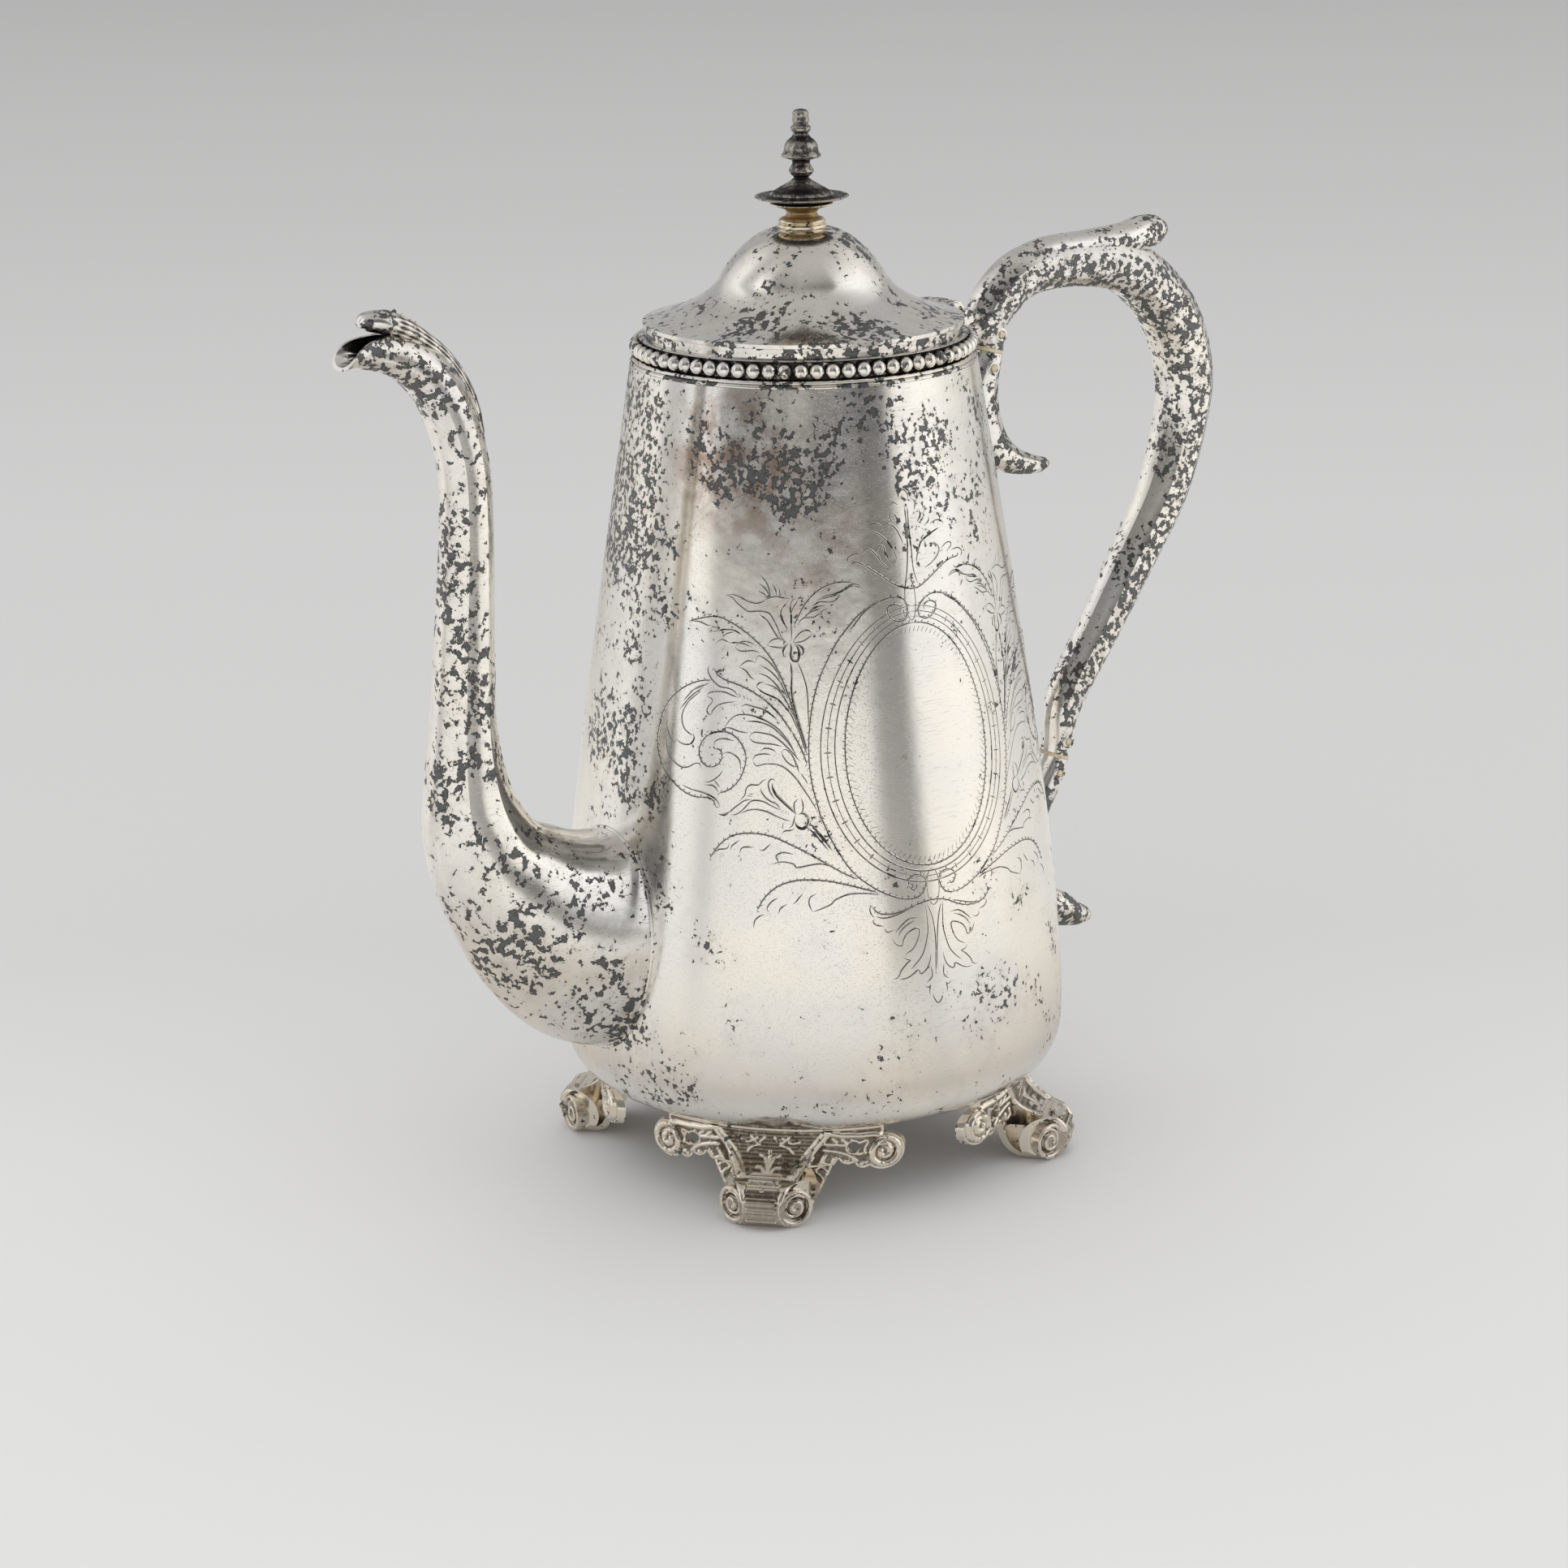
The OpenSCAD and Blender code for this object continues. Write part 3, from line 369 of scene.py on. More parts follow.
def plated(name, amount=0.3, size=5.0, specks=0.3, scratches=0.5, rough=0.15, tone=CREAM, spots=(),
           hollow=None, recess_tarnish_and_shade_tone=FILM, copper=0.0, dents=0.05, blush=(), painted_shade_facing=None):
    """Silver plate with its tarnish. Spots are places in mm with a reach and how much more tarnish lies
    there; a direction, with an amount, paints more dark film on the sides turned that way, as painted
    shade; blush are places worn to a coppery brown. Hollow names a surface attribute, or is a function that
    gives a socket, which is 1 in recesses, darkened there partly by tarnish and partly by painted shade.
    Dents are in mm."""
    material, tree, shader = new_material(name)
    place = place_in_mm(tree)
    level = amount
    for spot, reach, more in spots:
        away = vector(tree, "DISTANCE", place, spot)
        level = calc(tree, "ADD", level, spread(tree, away, reach * 0.25, reach, more, 0.0))
    # painted shade: more dark film on the sides turned towards the given direction
    if painted_shade_facing:
        side = node(tree, "ShaderNodeVectorMath", operation="DOT_PRODUCT")
        tree.links.new(node(tree, "ShaderNodeTexCoord").outputs["Normal"], side.inputs[0])
        side.inputs[1].default_value = painted_shade_facing[0]
        level = calc(tree, "ADD", level, spread(tree, side.outputs["Value"], 0.35, 0.92, 0.0, painted_shade_facing[1]))
    film = use_group(tree, TARNISH, Place=place, Amount=level, Patch_size=size, Specks=specks)
    lines = use_group(tree, HAIRLINES, Place=place, Strength=scratches)
    sheen = spread(tree, noise(tree, place, 2.0, 0.5, scale=0.03), 0.35, 0.65)
    colour = mix(tree, sheen, tone, COOL if tone == CREAM else tone)
    colour = mix(tree, film["Veil"], colour, VEIL)
    if copper:
        colour = mix(tree, calc(tree, "MULTIPLY", film["Copper"], copper, clamp=True), colour, COPPER)
    for spot, reach, more in blush:
        cloud = spread(tree, noise(tree, place, 5.0, 0.6, scale=0.14), 0.36, 0.62)
        near = spread(tree, vector(tree, "DISTANCE", place, spot), reach * 0.3, reach, more, 0.0)
        colour = mix(tree, calc(tree, "MULTIPLY", cloud, near), colour, COPPER)
    colour = mix(tree, calc(tree, "MULTIPLY", lines["Rub"], 0.45), colour, RUBBED)
    dark = film["Film"]
    colour = mix(tree, dark, colour, mix(tree, film["Depth"], FILM, THICK))
    gloss = calc(tree, "MULTIPLY_ADD", dark, 0.26, rough)
    gloss = calc(tree, "MULTIPLY_ADD", lines["Rub"], 0.12, gloss)
    # recesses darkened with the recess tone: partly tarnish lodged there, partly painted shade
    if hollow is not None:
        deep = hollow(tree, place) if callable(hollow) else spread(tree, mark(tree, hollow), 0.15, 0.85)
        grain = noise(tree, place, 4.0, 0.6, scale=0.8)
        deep = calc(tree, "MULTIPLY", deep, spread(tree, grain, 0.1, 0.5), clamp=True)
        colour = mix(tree, deep, colour, recess_tarnish_and_shade_tone)
        gloss = calc(tree, "MULTIPLY_ADD", deep, 0.2, gloss)
    tree.links.new(colour, shader.inputs["Base Color"])
    tree.links.new(calc(tree, "MINIMUM", gloss, 0.6), shader.inputs["Roughness"])
    shader.inputs["Metallic"].default_value = 1.0
    add_bump(tree, shader, calc(tree, "MULTIPLY_ADD", dark, -0.12, lines["Height"]), dents)
    return material


def mark(tree, name):
    return node(tree, "ShaderNodeAttribute", attribute_name=name).outputs["Fac"]


def aged_bone(name):
    material, tree, shader = new_material(name)
    place = place_in_mm(tree)
    grain = node(tree, "ShaderNodeMapping")
    grain.inputs["Scale"].default_value = (3.0, 3.0, 0.4)
    tree.links.new(place, grain.inputs["Vector"])
    fibre = noise(tree, grain.outputs[0], 5.0, 0.6)
    stain = noise(tree, place, 3.0, 0.6, scale=0.5)
    colour = mix(tree, spread(tree, fibre, 0.35, 0.65), (0.66, 0.55, 0.36, 1.0), (0.80, 0.70, 0.50, 1.0))
    colour = mix(tree, spread(tree, stain, 0.55, 0.8, 0.0, 0.6), colour, (0.30, 0.20, 0.11, 1.0))
    tree.links.new(colour, shader.inputs["Base Color"])
    tree.links.new(spread(tree, fibre, 0.3, 0.7, 0.38, 0.55), shader.inputs["Roughness"])
    add_bump(tree, shader, fibre, 0.03)
    return material


# ---------------------------------------------------------------- pieces from points and faces


def new_mesh(name, points, faces, marks=None):
    """A mesh from points in mm; marks are values per point that a material reads"""
    mesh = bpy.data.meshes.new(name)
    mesh.from_pydata((np.asarray(points, float) * MM).tolist(), [], [list(map(int, f)) for f in faces])
    for label, values in (marks or {}).items():
        mesh.attributes.new(label, "FLOAT", "POINT").data.foreach_set("value", np.asarray(values, float))
    return mesh


def make_piece(name, points, faces, material, marks=None, **more):
    """A finished piece from points in mm"""
    mesh = new_mesh(name, points, faces, marks)
    clean(mesh)
    return dress(name, mesh, material, **more)


def clean(mesh):
    bm = bmesh.new()
    bm.from_mesh(mesh)
    bmesh.ops.remove_doubles(bm, verts=bm.verts, dist=2e-7)
    bmesh.ops.dissolve_degenerate(bm, edges=bm.edges, dist=1e-7)
    bmesh.ops.recalc_face_normals(bm, faces=bm.faces)
    bm.to_mesh(mesh)
    bm.free()


def dress(name, mesh, material, body="pot", sharp=32.0, stands_for=(), finish="worn_silver"):
    """Puts a mesh into the scene as a piece: its material, its edges sharper than an angle, its body"""
    mesh.shade_smooth()
    mesh.set_sharp_from_angle(angle=math.radians(sharp))
    mesh.materials.clear()
    mesh.materials.append(material)
    piece = add_object(name, mesh)
    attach(piece, body)
    if stands_for:
        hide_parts(*stands_for)
    return piece


def dress_solid(name, material):
    """Gives a solid that shows as it is its finish"""
    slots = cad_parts[name].data.materials
    slots.clear()
    slots.append(material)


def round_turn(count):
    """Angles of equal steps round a full turn"""
    return np.arange(count) * 2 * math.pi / count


def bezier(a, b, c, d, count):
    t = np.linspace(0.0, 1.0, count + 1)[:, None]
    a, b, c, d = (np.array(p, float) for p in (a, b, c, d))
    return (1 - t) ** 3 * a + 3 * (1 - t) ** 2 * t * b + 3 * (1 - t) * t * t * c + t ** 3 * d


def through(stations, steps):
    """A smooth line through every station, whatever a station holds"""
    s = np.array(stations, float)
    padded = np.vstack([2 * s[0] - s[1], s, 2 * s[-1] - s[-2]])
    t = np.linspace(0.0, 1.0, steps, endpoint=False)[:, None]
    out = []
    for i in range(1, len(padded) - 2):
        a, b, c, d = padded[i - 1:i + 3]
        out.append(0.5 * (2 * b + (c - a) * t + (2 * a - 5 * b + 4 * c - d) * t * t
                          + (3 * b - a - 3 * c + d) * t ** 3))
    return np.vstack(out + [s[-1:]])


CORNER_STEPS = 3


def softened(outline, radius, closed=True):
    """Turns each corner of an outline into a small round"""
    p = np.array(outline, float)
    out = []
    for i in range(len(p)):
        if not closed and i in (0, len(p) - 1):
            out.append(p[i])
            continue
        before, here, after = p[i - 1], p[i], p[(i + 1) % len(p)]
        near, far = np.linalg.norm(before - here), np.linalg.norm(after - here)
        a = here + (before - here) / max(near, 1e-9) * min(radius, near * 0.45)
        b = here + (after - here) / max(far, 1e-9) * min(radius, far * 0.45)
        for t in np.linspace(0, 1, CORNER_STEPS + 1):
            out.append((1 - t) ** 2 * a + 2 * (1 - t) * t * here + t * t * b)
    return np.array(out)


def turned(outline, segments=192, closed=True):
    """An outline of (radius, height) spun round the pot's axis: points, faces, and each point's place
    in the outline"""
    outline = np.array(outline, float)
    angles = round_turn(segments)
    points, rows, faces = [], [], []
    for r, z in outline:
        if r < 1e-6:
            rows.append([len(points)] * segments)
            points.append((0.0, 0.0, z))
        else:
            rows.append(list(range(len(points), len(points) + segments)))
            points += [(r * math.cos(a), r * math.sin(a), z) for a in angles]
    count = len(rows)
    for i in range(count if closed else count - 1):
        low, high = rows[i], rows[(i + 1) % count]
        for k in range(segments):
            n = (k + 1) % segments
            face = [low[k], low[n], high[n], high[k]]
            face = [v for j, v in enumerate(face) if v != face[j - 1]]
            if len(face) > 2:
                faces.append(face)
    owner = [i for i, row in enumerate(rows) for _ in (row[:1] if row[0] == row[-1] else row)]
    return np.array(points), faces, owner


HOLLOW_REACH = 1.3


def hollows(outline):
    """How far each point of an outline lies back from the widest point near its height"""
    outline = np.array(outline, float)
    widest = np.array([outline[np.abs(outline[:, 1] - z) < HOLLOW_REACH, 0].max() for _, z in outline])
    return np.clip((widest - outline[:, 0]) / HOLLOW_REACH, 0, 1)


def spin_piece(name, outline, material, segments=192, soft=0.2, **more):
    outline = softened(outline, soft) if soft else np.array(outline, float)
    points, faces, owner = turned(outline, segments)
    # points lying back in the outline are marked hollow; the finish darkens them partly as tarnish and partly
    # as painted shade
    back = hollows(outline)[owner]
    return make_piece(name, points, faces, material, marks={"hollow": back}, **more)


def rings(stations, sides, inset=0.0):
    """Rings of a tube in the plane of symmetry. A station is (x, z, depth, width, flat)."""
    s = np.asarray(stations, float)
    heading = np.gradient(s[:, :2], axis=0)
    heading /= np.linalg.norm(heading, axis=1)[:, None]
    turn = round_turn(sides)
    # eight soft flats, as strong as the station's last number says
    flat = math.pi / 8
    wedge = np.abs((turn + flat) % (math.pi / 4) - flat)
    octagon = math.cos(flat) / np.cos(wedge)
    lobe = 1 - (1 - octagon)[None, :] * (s[:, 4] / (1 - math.cos(flat)))[:, None]
    across = (s[:, 2] / 2 - inset)[:, None] * lobe * np.cos(turn)
    side = (s[:, 3] / 2 - inset)[:, None] * lobe * np.sin(turn)
    x = s[:, 0:1] - heading[:, 1:2] * across
    z = s[:, 1:2] + heading[:, 0:1] * across
    return np.stack([x, side, z], axis=2)


def skin(grid, caps=True):
    """Points and faces of a row of rings, with a rounded middle point at each end"""
    n, sides = grid.shape[:2]
    points = grid.reshape(-1, 3)
    faces = []
    for base in range(0, (n - 1) * sides, sides):
        for k, other in zip(range(sides), [*range(1, sides), 0]):
            faces.append((base + k, base + other, base + sides + other, base + sides + k))
    if caps:
        ends = np.array([grid[0].mean(0), grid[-1].mean(0)])
        points = np.vstack([points, ends])
        faces += [(k, (k + 1) % sides, n * sides) for k in range(sides)]
        base = (n - 1) * sides
        faces += [(base + k, base + (k + 1) % sides, n * sides + 1) for k in range(sides)]
    return points, faces


def loose(points, faces, name="working"):
    """A mesh object that is only used to make pieces"""
    mesh = new_mesh(name, points, faces)
    clean(mesh)
    return add_object(name, mesh)


def settle(thing):
    """The mesh an object shows with its modifiers, leaving nothing of the object behind"""
    bpy.context.view_layer.update()
    mesh = bpy.data.meshes.new_from_object(thing.evaluated_get(bpy.context.evaluated_depsgraph_get()))
    bpy.data.objects.remove(thing)
    return mesh


def carve(thing, cutters):
    """The mesh left of an object when the cutters are taken away from it"""
    for cutter in cutters:
        step = thing.modifiers.new("cut", "BOOLEAN")
        step.operation = "DIFFERENCE"
        step.solver = "EXACT"
        step.object = cutter
        cutter.hide_render = True
    mesh = settle(thing)
    for cutter in cutters:
        bpy.data.objects.remove(cutter)
    return mesh


def joined(parts):
    """Several (points, faces) as one"""
    points, faces, base = [], [], 0
    for some, more in parts:
        points.append(np.asarray(some, float))
        faces += [[v + base for v in f] for f in more]
        base += len(some)
    return np.vstack(points), faces


def wire(path, radius, sides=10, closed=False):
    """A round wire along a path; the radius may change along it"""
    path = np.asarray(path, float)
    n = len(path)
    radius = np.broadcast_to(radius, (n,))
    ahead = np.roll(path, -1, 0) - np.roll(path, 1, 0)
    if not closed:
        ahead[0], ahead[-1] = path[1] - path[0], path[-1] - path[-2]
    ahead /= np.linalg.norm(ahead, axis=1)[:, None]
    side = np.cross(ahead[0], (0.31, 0.2, 0.93))
    grid = []
    turn = round_turn(sides)
    for i in range(n):
        side = side - ahead[i] * side.dot(ahead[i])
        side /= np.linalg.norm(side)
        up = np.cross(ahead[i], side)
        grid.append(path[i] + radius[i] * (np.outer(np.cos(turn), side) + np.outer(np.sin(turn), up)))
    grid = np.array(grid)
    if not closed:
        return skin(grid)
    points, faces = skin(grid, caps=False)
    first, last = grid[0], grid[-1]
    shift = int(np.argmin([np.linalg.norm(np.roll(first, -k, 0) - last) for k in range(sides)]))
    base = (n - 1) * sides
    faces += [(base + k, base + (k + 1) % sides, (k + 1 + shift) % sides, (k + shift) % sides)
              for k in range(sides)]
    return points, faces


# ---------------------------------------------------------------- body

BASE_R, BASE_Z, BELLY_R, BELLY_Z, TOP_R, TOP_Z, WALL = 44.0, 20.0, 62.6, 37.0, 42.0, 200.3, 1.0
COLLAR_R = TOP_R - 3.7
COLLAR_WALL = 1.1
COLLAR_TOP = 209.2
GAP = 0.02
ROUND_STEPS = 256  # faces round the body, the collar and the lid
UNDER_STEPS, SIDE_STEPS = 24, 90


def body_line(inset=0.0):
    under = bezier((BASE_R, BASE_Z + inset), (BASE_R + 13.6, BASE_Z + 1.4 + inset),
                   (BELLY_R - inset, BELLY_Z - 11.5 + inset / 2), (BELLY_R - inset, BELLY_Z), UNDER_STEPS)
    side = bezier((BELLY_R - inset, BELLY_Z), (BELLY_R - inset, BELLY_Z + 40),
                  (TOP_R + 9 - inset, TOP_Z - 60), (TOP_R - inset, TOP_Z), SIDE_STEPS)
    return np.vstack([under, side[1:]])


SKIN_LINE = body_line()


def body_radius(z):
    return np.interp(z, SKIN_LINE[:, 1], SKIN_LINE[:, 0])


def outside_body(points, sunk=0.5):
    """Points that would lie inside the body moved out to just under its skin"""
    points = np.array(points, float)
    r, z = np.hypot(points[:, 0], points[:, 1]), points[:, 2]
    least = np.where((z > BASE_Z) & (z < TOP_Z + 0.5), body_radius(z) - sunk, 0)
    points[:, :2] *= np.where(r < least, least / np.maximum(r, 1e-6), 1.0)[:, None]
    return points


SPOUT_ROOT_Z, SPOUT_ROOT_H, SPOUT_ROOT_W = 65.9, 57.5, 37.6


def body_shell():
    outer, inner = body_line(), body_line(WALL)
    points, faces, _ = turned(np.vstack([outer, inner[::-1]]), ROUND_STEPS)
    # a hair narrower, to stay within the solid's facets
    shell = loose(np.array(points) * (0.9998, 0.9998, 1.0), faces)
    w, h = SPOUT_ROOT_W * 0.52, SPOUT_ROOT_H * 0.5
    turn = np.linspace(0, math.pi, 25)
    ring = [(w / 2 * math.cos(a), (h - w) / 2 + w / 2 * math.sin(a)) for a in turn]
    ring += [(-y, -z) for y, z in ring]
    x = -body_radius(SPOUT_ROOT_Z) - WALL
    grid = np.array([[(x + d, y, z + SPOUT_ROOT_Z) for y, z in ring] for d in (-4.0, 4.0)])
    return carve(shell, [loose(*skin(grid), name="port")])


BODY_SPOTS = (((-41.7, 13.8, 185), 30, 0.42), ((-46, 4, 160), 30, 0.42), ((-55, 6, 116), 28, 0.36),
              ((-36, -25, 187), 20, 0.42), ((-26, -36, 180), 15, 0.66), ((-10, -42, 190), 16, 0.34),
              ((13, -43, 178), 30, 0.24), ((-30, -38, 150), 14, 0.2), ((5, -62, 52), 16, 0.16),
              ((-56, -17, 28), 26, 0.08), ((-56, -12, 100), 18, 0.2), ((30, 44, 150), 40, 0.3),
              ((-20, 44, 176), 34, 0.3), ((52, 20, 100), 30, 0.25),
              ((-16, -54, 112), 28, -0.3), ((-45, -33, 104), 24, -0.16), ((-34, -52, 60), 30, -0.1))
BODY_BLUSH = (((-37, -25, 184), 24, 0.8), ((-27, -40, 166), 26, 0.35))
BODY_PLATE = plated("body_plate", amount=0.08, size=1.6, specks=0.24, scratches=0.7, rough=0.14,
                    spots=BODY_SPOTS, copper=0.3, dents=0.04, blush=BODY_BLUSH)
dress("body", body_shell(), BODY_PLATE, sharp=30, stands_for=("vessel",))

INNER_PLATE = plated("inner_plate", amount=0.35, size=7.0, specks=0.4, scratches=0.6, rough=0.3,
                     tone=(0.80, 0.76, 0.69, 1.0))
TURNED_PLATE = plated("turned_plate", amount=0.5, size=2.6, specks=0.4, scratches=0.4, rough=0.17,
                      hollow="hollow")
spin_piece("base_plate", [
    (0, BASE_Z + 2.2), (BASE_R - 9, BASE_Z + 1.54), (BASE_R - 4, BASE_Z), (BASE_R - GAP, BASE_Z),
    (BASE_R - GAP, BASE_Z + 1), (BASE_R - 3.6, BASE_Z + 1), (BASE_R - 8.6, BASE_Z + 2.54), (0, BASE_Z + 3.2)],
    INNER_PLATE, soft=0, stands_for=("base_disc",), finish="dark_silver")
spin_piece("collar_ring", [
    (COLLAR_R - COLLAR_WALL, TOP_Z), (TOP_R, TOP_Z), (TOP_R, TOP_Z + 0.5), (TOP_R - 0.5, TOP_Z + 0.9),
    (COLLAR_R, TOP_Z + 0.9), (COLLAR_R, COLLAR_TOP - 1.4), (COLLAR_R + 0.35, COLLAR_TOP),
    (COLLAR_R - COLLAR_WALL, COLLAR_TOP)], TURNED_PLATE, ROUND_STEPS, stands_for=("collar",))

# ---------------------------------------------------------------- beads under the lid

BEADS = 68
BEAD_R = 1.8
BEAD_RING = COLLAR_R + 0.2 + BEAD_R
FLANGE_TOP = TOP_Z + 0.9
BEAD_Z = FLANGE_TOP + 1.0 + 0.15 + BEAD_R
BAND_TOP = BEAD_Z + BEAD_R + 0.15 + 0.7


def between_beads(tree, place):
    """1 on the band behind the beads and in the gaps between them, which the bead plate darkens partly as
    tarnish and partly as painted shade
    """
    flat = vector(tree, "MULTIPLY", place, (1.0, 1.0, 0.0))
    back = spread(tree, vector(tree, "LENGTH", flat), BEAD_RING - 0.5, BEAD_RING + 0.75, 1.0, 0.0)
    rise = calc(tree, "ABSOLUTE", calc(tree, "SUBTRACT", split_up(tree, place)["Z"], BEAD_Z))
    return calc(tree, "MULTIPLY", back, spread(tree, rise, BEAD_R * 0.9, BEAD_R * 1.5, 1.0, 0.2))


BEAD_PLATE = plated("bead_plate", amount=0.25, size=2.0, specks=0.3, scratches=0.3, rough=0.16,
                    hollow=between_beads, recess_tarnish_and_shade_tone=(0.03, 0.028, 0.026, 1.0))


GEOMETRY = "NodeSocketGeometry"
MATERIAL = "NodeSocketMaterial"


def small_ball(tree, segments, count):
    made = node(tree, "GeometryNodeMeshUVSphere")
    made.inputs["Segments"].default_value = segments
    made.inputs["Rings"].default_value = count
    return made


def with_finish(tree, shape, finish, out):
    """Ends a geometry tree with real geometry in its finish"""
    real = node(tree, "GeometryNodeRealizeInstances")
    feed(tree, real.inputs[0], shape)
    done = node(tree, "GeometryNodeSetMaterial")
    feed(tree, done.inputs["Geometry"], real.outputs[0])
    feed(tree, done.inputs["Material"], finish)
    feed(tree, out[0], done.outputs[0])


def bead_tree():
    """A row of beads round a ring, seated on the band's mesh"""
    takes = [("Band", GEOMETRY, None), ("Beads", "NodeSocketInt", None), ("Ring radius", FLOAT, None),
             ("Height", FLOAT, None), ("Bead radius", FLOAT, None), ("Finish", MATERIAL, None)]
    tree, given, out = new_group("bead_row", takes, [("Row", GEOMETRY)], "GeometryNodeTree")
    ring = node(tree, "GeometryNodeMeshCircle")
    feed(tree, ring.inputs["Vertices"], given["Beads"])
    feed(tree, ring.inputs["Radius"], given["Ring radius"])
    lift = node(tree, "ShaderNodeCombineXYZ")
    feed(tree, lift.inputs["Z"], given["Height"])
    half = node(tree, "ShaderNodeCombineXYZ")
    feed(tree, half.inputs["Z"], calc(tree, "DIVIDE", math.pi, given["Beads"]))
    place = node(tree, "GeometryNodeTransform")
    feed(tree, place.inputs["Geometry"], ring.outputs["Mesh"])
    feed(tree, place.inputs["Translation"], lift.outputs[0])
    feed(tree, place.inputs["Rotation"], half.outputs[0])
    bead = small_ball(tree, 16, 9)
    feed(tree, bead.inputs["Radius"], given["Bead radius"])
    row = node(tree, "GeometryNodeInstanceOnPoints")
    feed(tree, row.inputs["Points"], place.outputs[0])
    feed(tree, row.inputs["Instance"], bead.outputs["Mesh"])
    both = node(tree, "GeometryNodeJoinGeometry")
    tree.links.new(given["Band"], both.inputs[0])
    tree.links.new(row.outputs[0], both.inputs[0])
    with_finish(tree, both.outputs[0], given["Finish"], out)
    return tree


def run_tree(thing, tree, **values):
    """Runs a geometry tree on an object, with its inputs set by name, and gives the mesh"""
    step = thing.modifiers.new("made", "NODES")
    step.node_group = tree
    for item in tree.interface.items_tree:
        label = item.name.replace(" ", "_")
        if item.in_out == "INPUT" and label in values:
            step[item.identifier] = values[label]
    return settle(thing)


BAND_R = BEAD_RING - BEAD_R * 0.4
band_points, band_faces, _ = turned(softened([
    (COLLAR_R + GAP, FLANGE_TOP), (TOP_R - 0.5, FLANGE_TOP), (TOP_R - 0.2, FLANGE_TOP + 0.4),
    (TOP_R - 0.6, FLANGE_TOP + 0.85), (BAND_R, FLANGE_TOP + 1.0), (BAND_R, BEAD_Z + BEAD_R + 0.15),
    (BAND_R + 0.3, BEAD_Z + BEAD_R + 0.4), (BAND_R - 0.1, BEAD_Z + BEAD_R + 0.75),
    (COLLAR_R + GAP, BAND_TOP)], 0.2), 272)
bead_mesh = run_tree(loose(band_points, band_faces, "band"), bead_tree(),
                     Beads=BEADS, Ring_radius=BEAD_RING * MM, Height=BEAD_Z * MM, Bead_radius=BEAD_R * MM,
                     Finish=BEAD_PLATE)
dress("beaded_band", bead_mesh, BEAD_PLATE, sharp=40, stands_for=("bead_band",))

# ---------------------------------------------------------------- lid and finial

LID_R, RIM_Z, CROWN_Z, LID_WALL, FINIAL_R = COLLAR_R + 0.4, COLLAR_TOP, 231.8, 0.9, 5.9
LID_H = 21.7
STUD = 1.2
SKIRT_STEPS, DOME_STEPS = 30, 24


def lid_line(inset=0.0):
    top, rim = CROWN_Z - inset, RIM_Z + LID_WALL - inset
    bend = np.array([LID_R - 18.7 - inset, rim + LID_H * 0.47])
    up = np.array([-2, 4.1]) * LID_H / 22
    skirt = bezier((LID_R, rim), (LID_R - 6.1, rim + LID_H * 0.05), bend - up * 1.25, bend, SKIRT_STEPS)
    dome = bezier(bend, bend + up, (12.6 - inset, top - 0.9), (FINIAL_R + 0.4, top), DOME_STEPS)
    return np.vstack([skirt, dome[1:]])


LID_SPOTS = (((0, 0, 232), 12, 0.5), ((-30, -12, 212), 20, 0.22), ((-6, -33, 212), 16, 0.15))
LID_PLATE = plated("lid_plate", amount=0.26, size=1.8, specks=0.42, scratches=0.6, rough=0.15, copper=0.2,
                   dents=0.035, spots=LID_SPOTS)
FINIAL_PLATE = plated("finial_plate", amount=0.45, size=1.5, specks=0.4, scratches=0.3, rough=0.17,
                      tone=(0.38, 0.35, 0.31, 1.0), hollow="hollow", recess_tarnish_and_shade_tone=(0.03, 0.027, 0.024, 1.0))
GILT_PLATE = plated("gilt_plate", amount=0.35, size=1.6, specks=0.4, scratches=0.3, rough=0.2,
                    tone=(0.84, 0.74, 0.56, 1.0), hollow="hollow", recess_tarnish_and_shade_tone=(0.40, 0.28, 0.14, 1.0))

stud_hole = [(STUD + 0.1, CROWN_Z), (STUD + 0.1, CROWN_Z - LID_WALL)]
points, faces, _ = turned(np.vstack([lid_line(), stud_hole, lid_line(LID_WALL)[::-1]]), ROUND_STEPS)
make_piece("lid_dome", points, faces, LID_PLATE, body="lid", stands_for=("lid",))
BEZEL_R = COLLAR_R - COLLAR_WALL - 0.6
spin_piece("lid_flange", [
    (BEZEL_R - 0.8, RIM_Z - 4.4), (BEZEL_R, RIM_Z - 4.4), (BEZEL_R, RIM_Z - GAP),
    (BEZEL_R - 0.8, RIM_Z - GAP)], TURNED_PLATE, ROUND_STEPS, body="lid", stands_for=("lid_bezel",))

Z, R = CROWN_Z, FINIAL_R
spin_piece("finial_foot", [
    (STUD + 0.02, Z), (R, Z), (R, Z + 0.8), (R - 0.5, Z + 1.2), (R - 0.1, Z + 1.6), (R - 0.5, Z + 2.2),
    (R - 1.9, Z + 2.7), (R - 2.3, Z + 3.6), (R - 1.7, Z + 4.5), (R + 0.6, Z + 5.2), (R + 1.8, Z + 5.7),
    (R + 1.6, Z + 6.1), (R, Z + 6.4), (STUD + 0.02, Z + 6.4)], GILT_PLATE, 96, body="lid",
    stands_for=("finial_base",), finish="dark_silver")
Z, R = CROWN_Z + 6.4, 11.4
spin_piece("finial_plate", [
    (STUD + 0.02, Z), (FINIAL_R, Z), (R - 0.6, Z + 0.7), (R, Z + 1.05), (R - 0.3, Z + 1.35),
    (R - 1.2, Z + 1.1), (R - 3, Z + 1), (R - 3.2, Z + 1.5), (STUD + 0.02, Z + 1.5)],
    FINIAL_PLATE, 128, body="lid", stands_for=("finial_disc",))
Z, R, H = CROWN_Z + 7.9, 4.85, 20.3
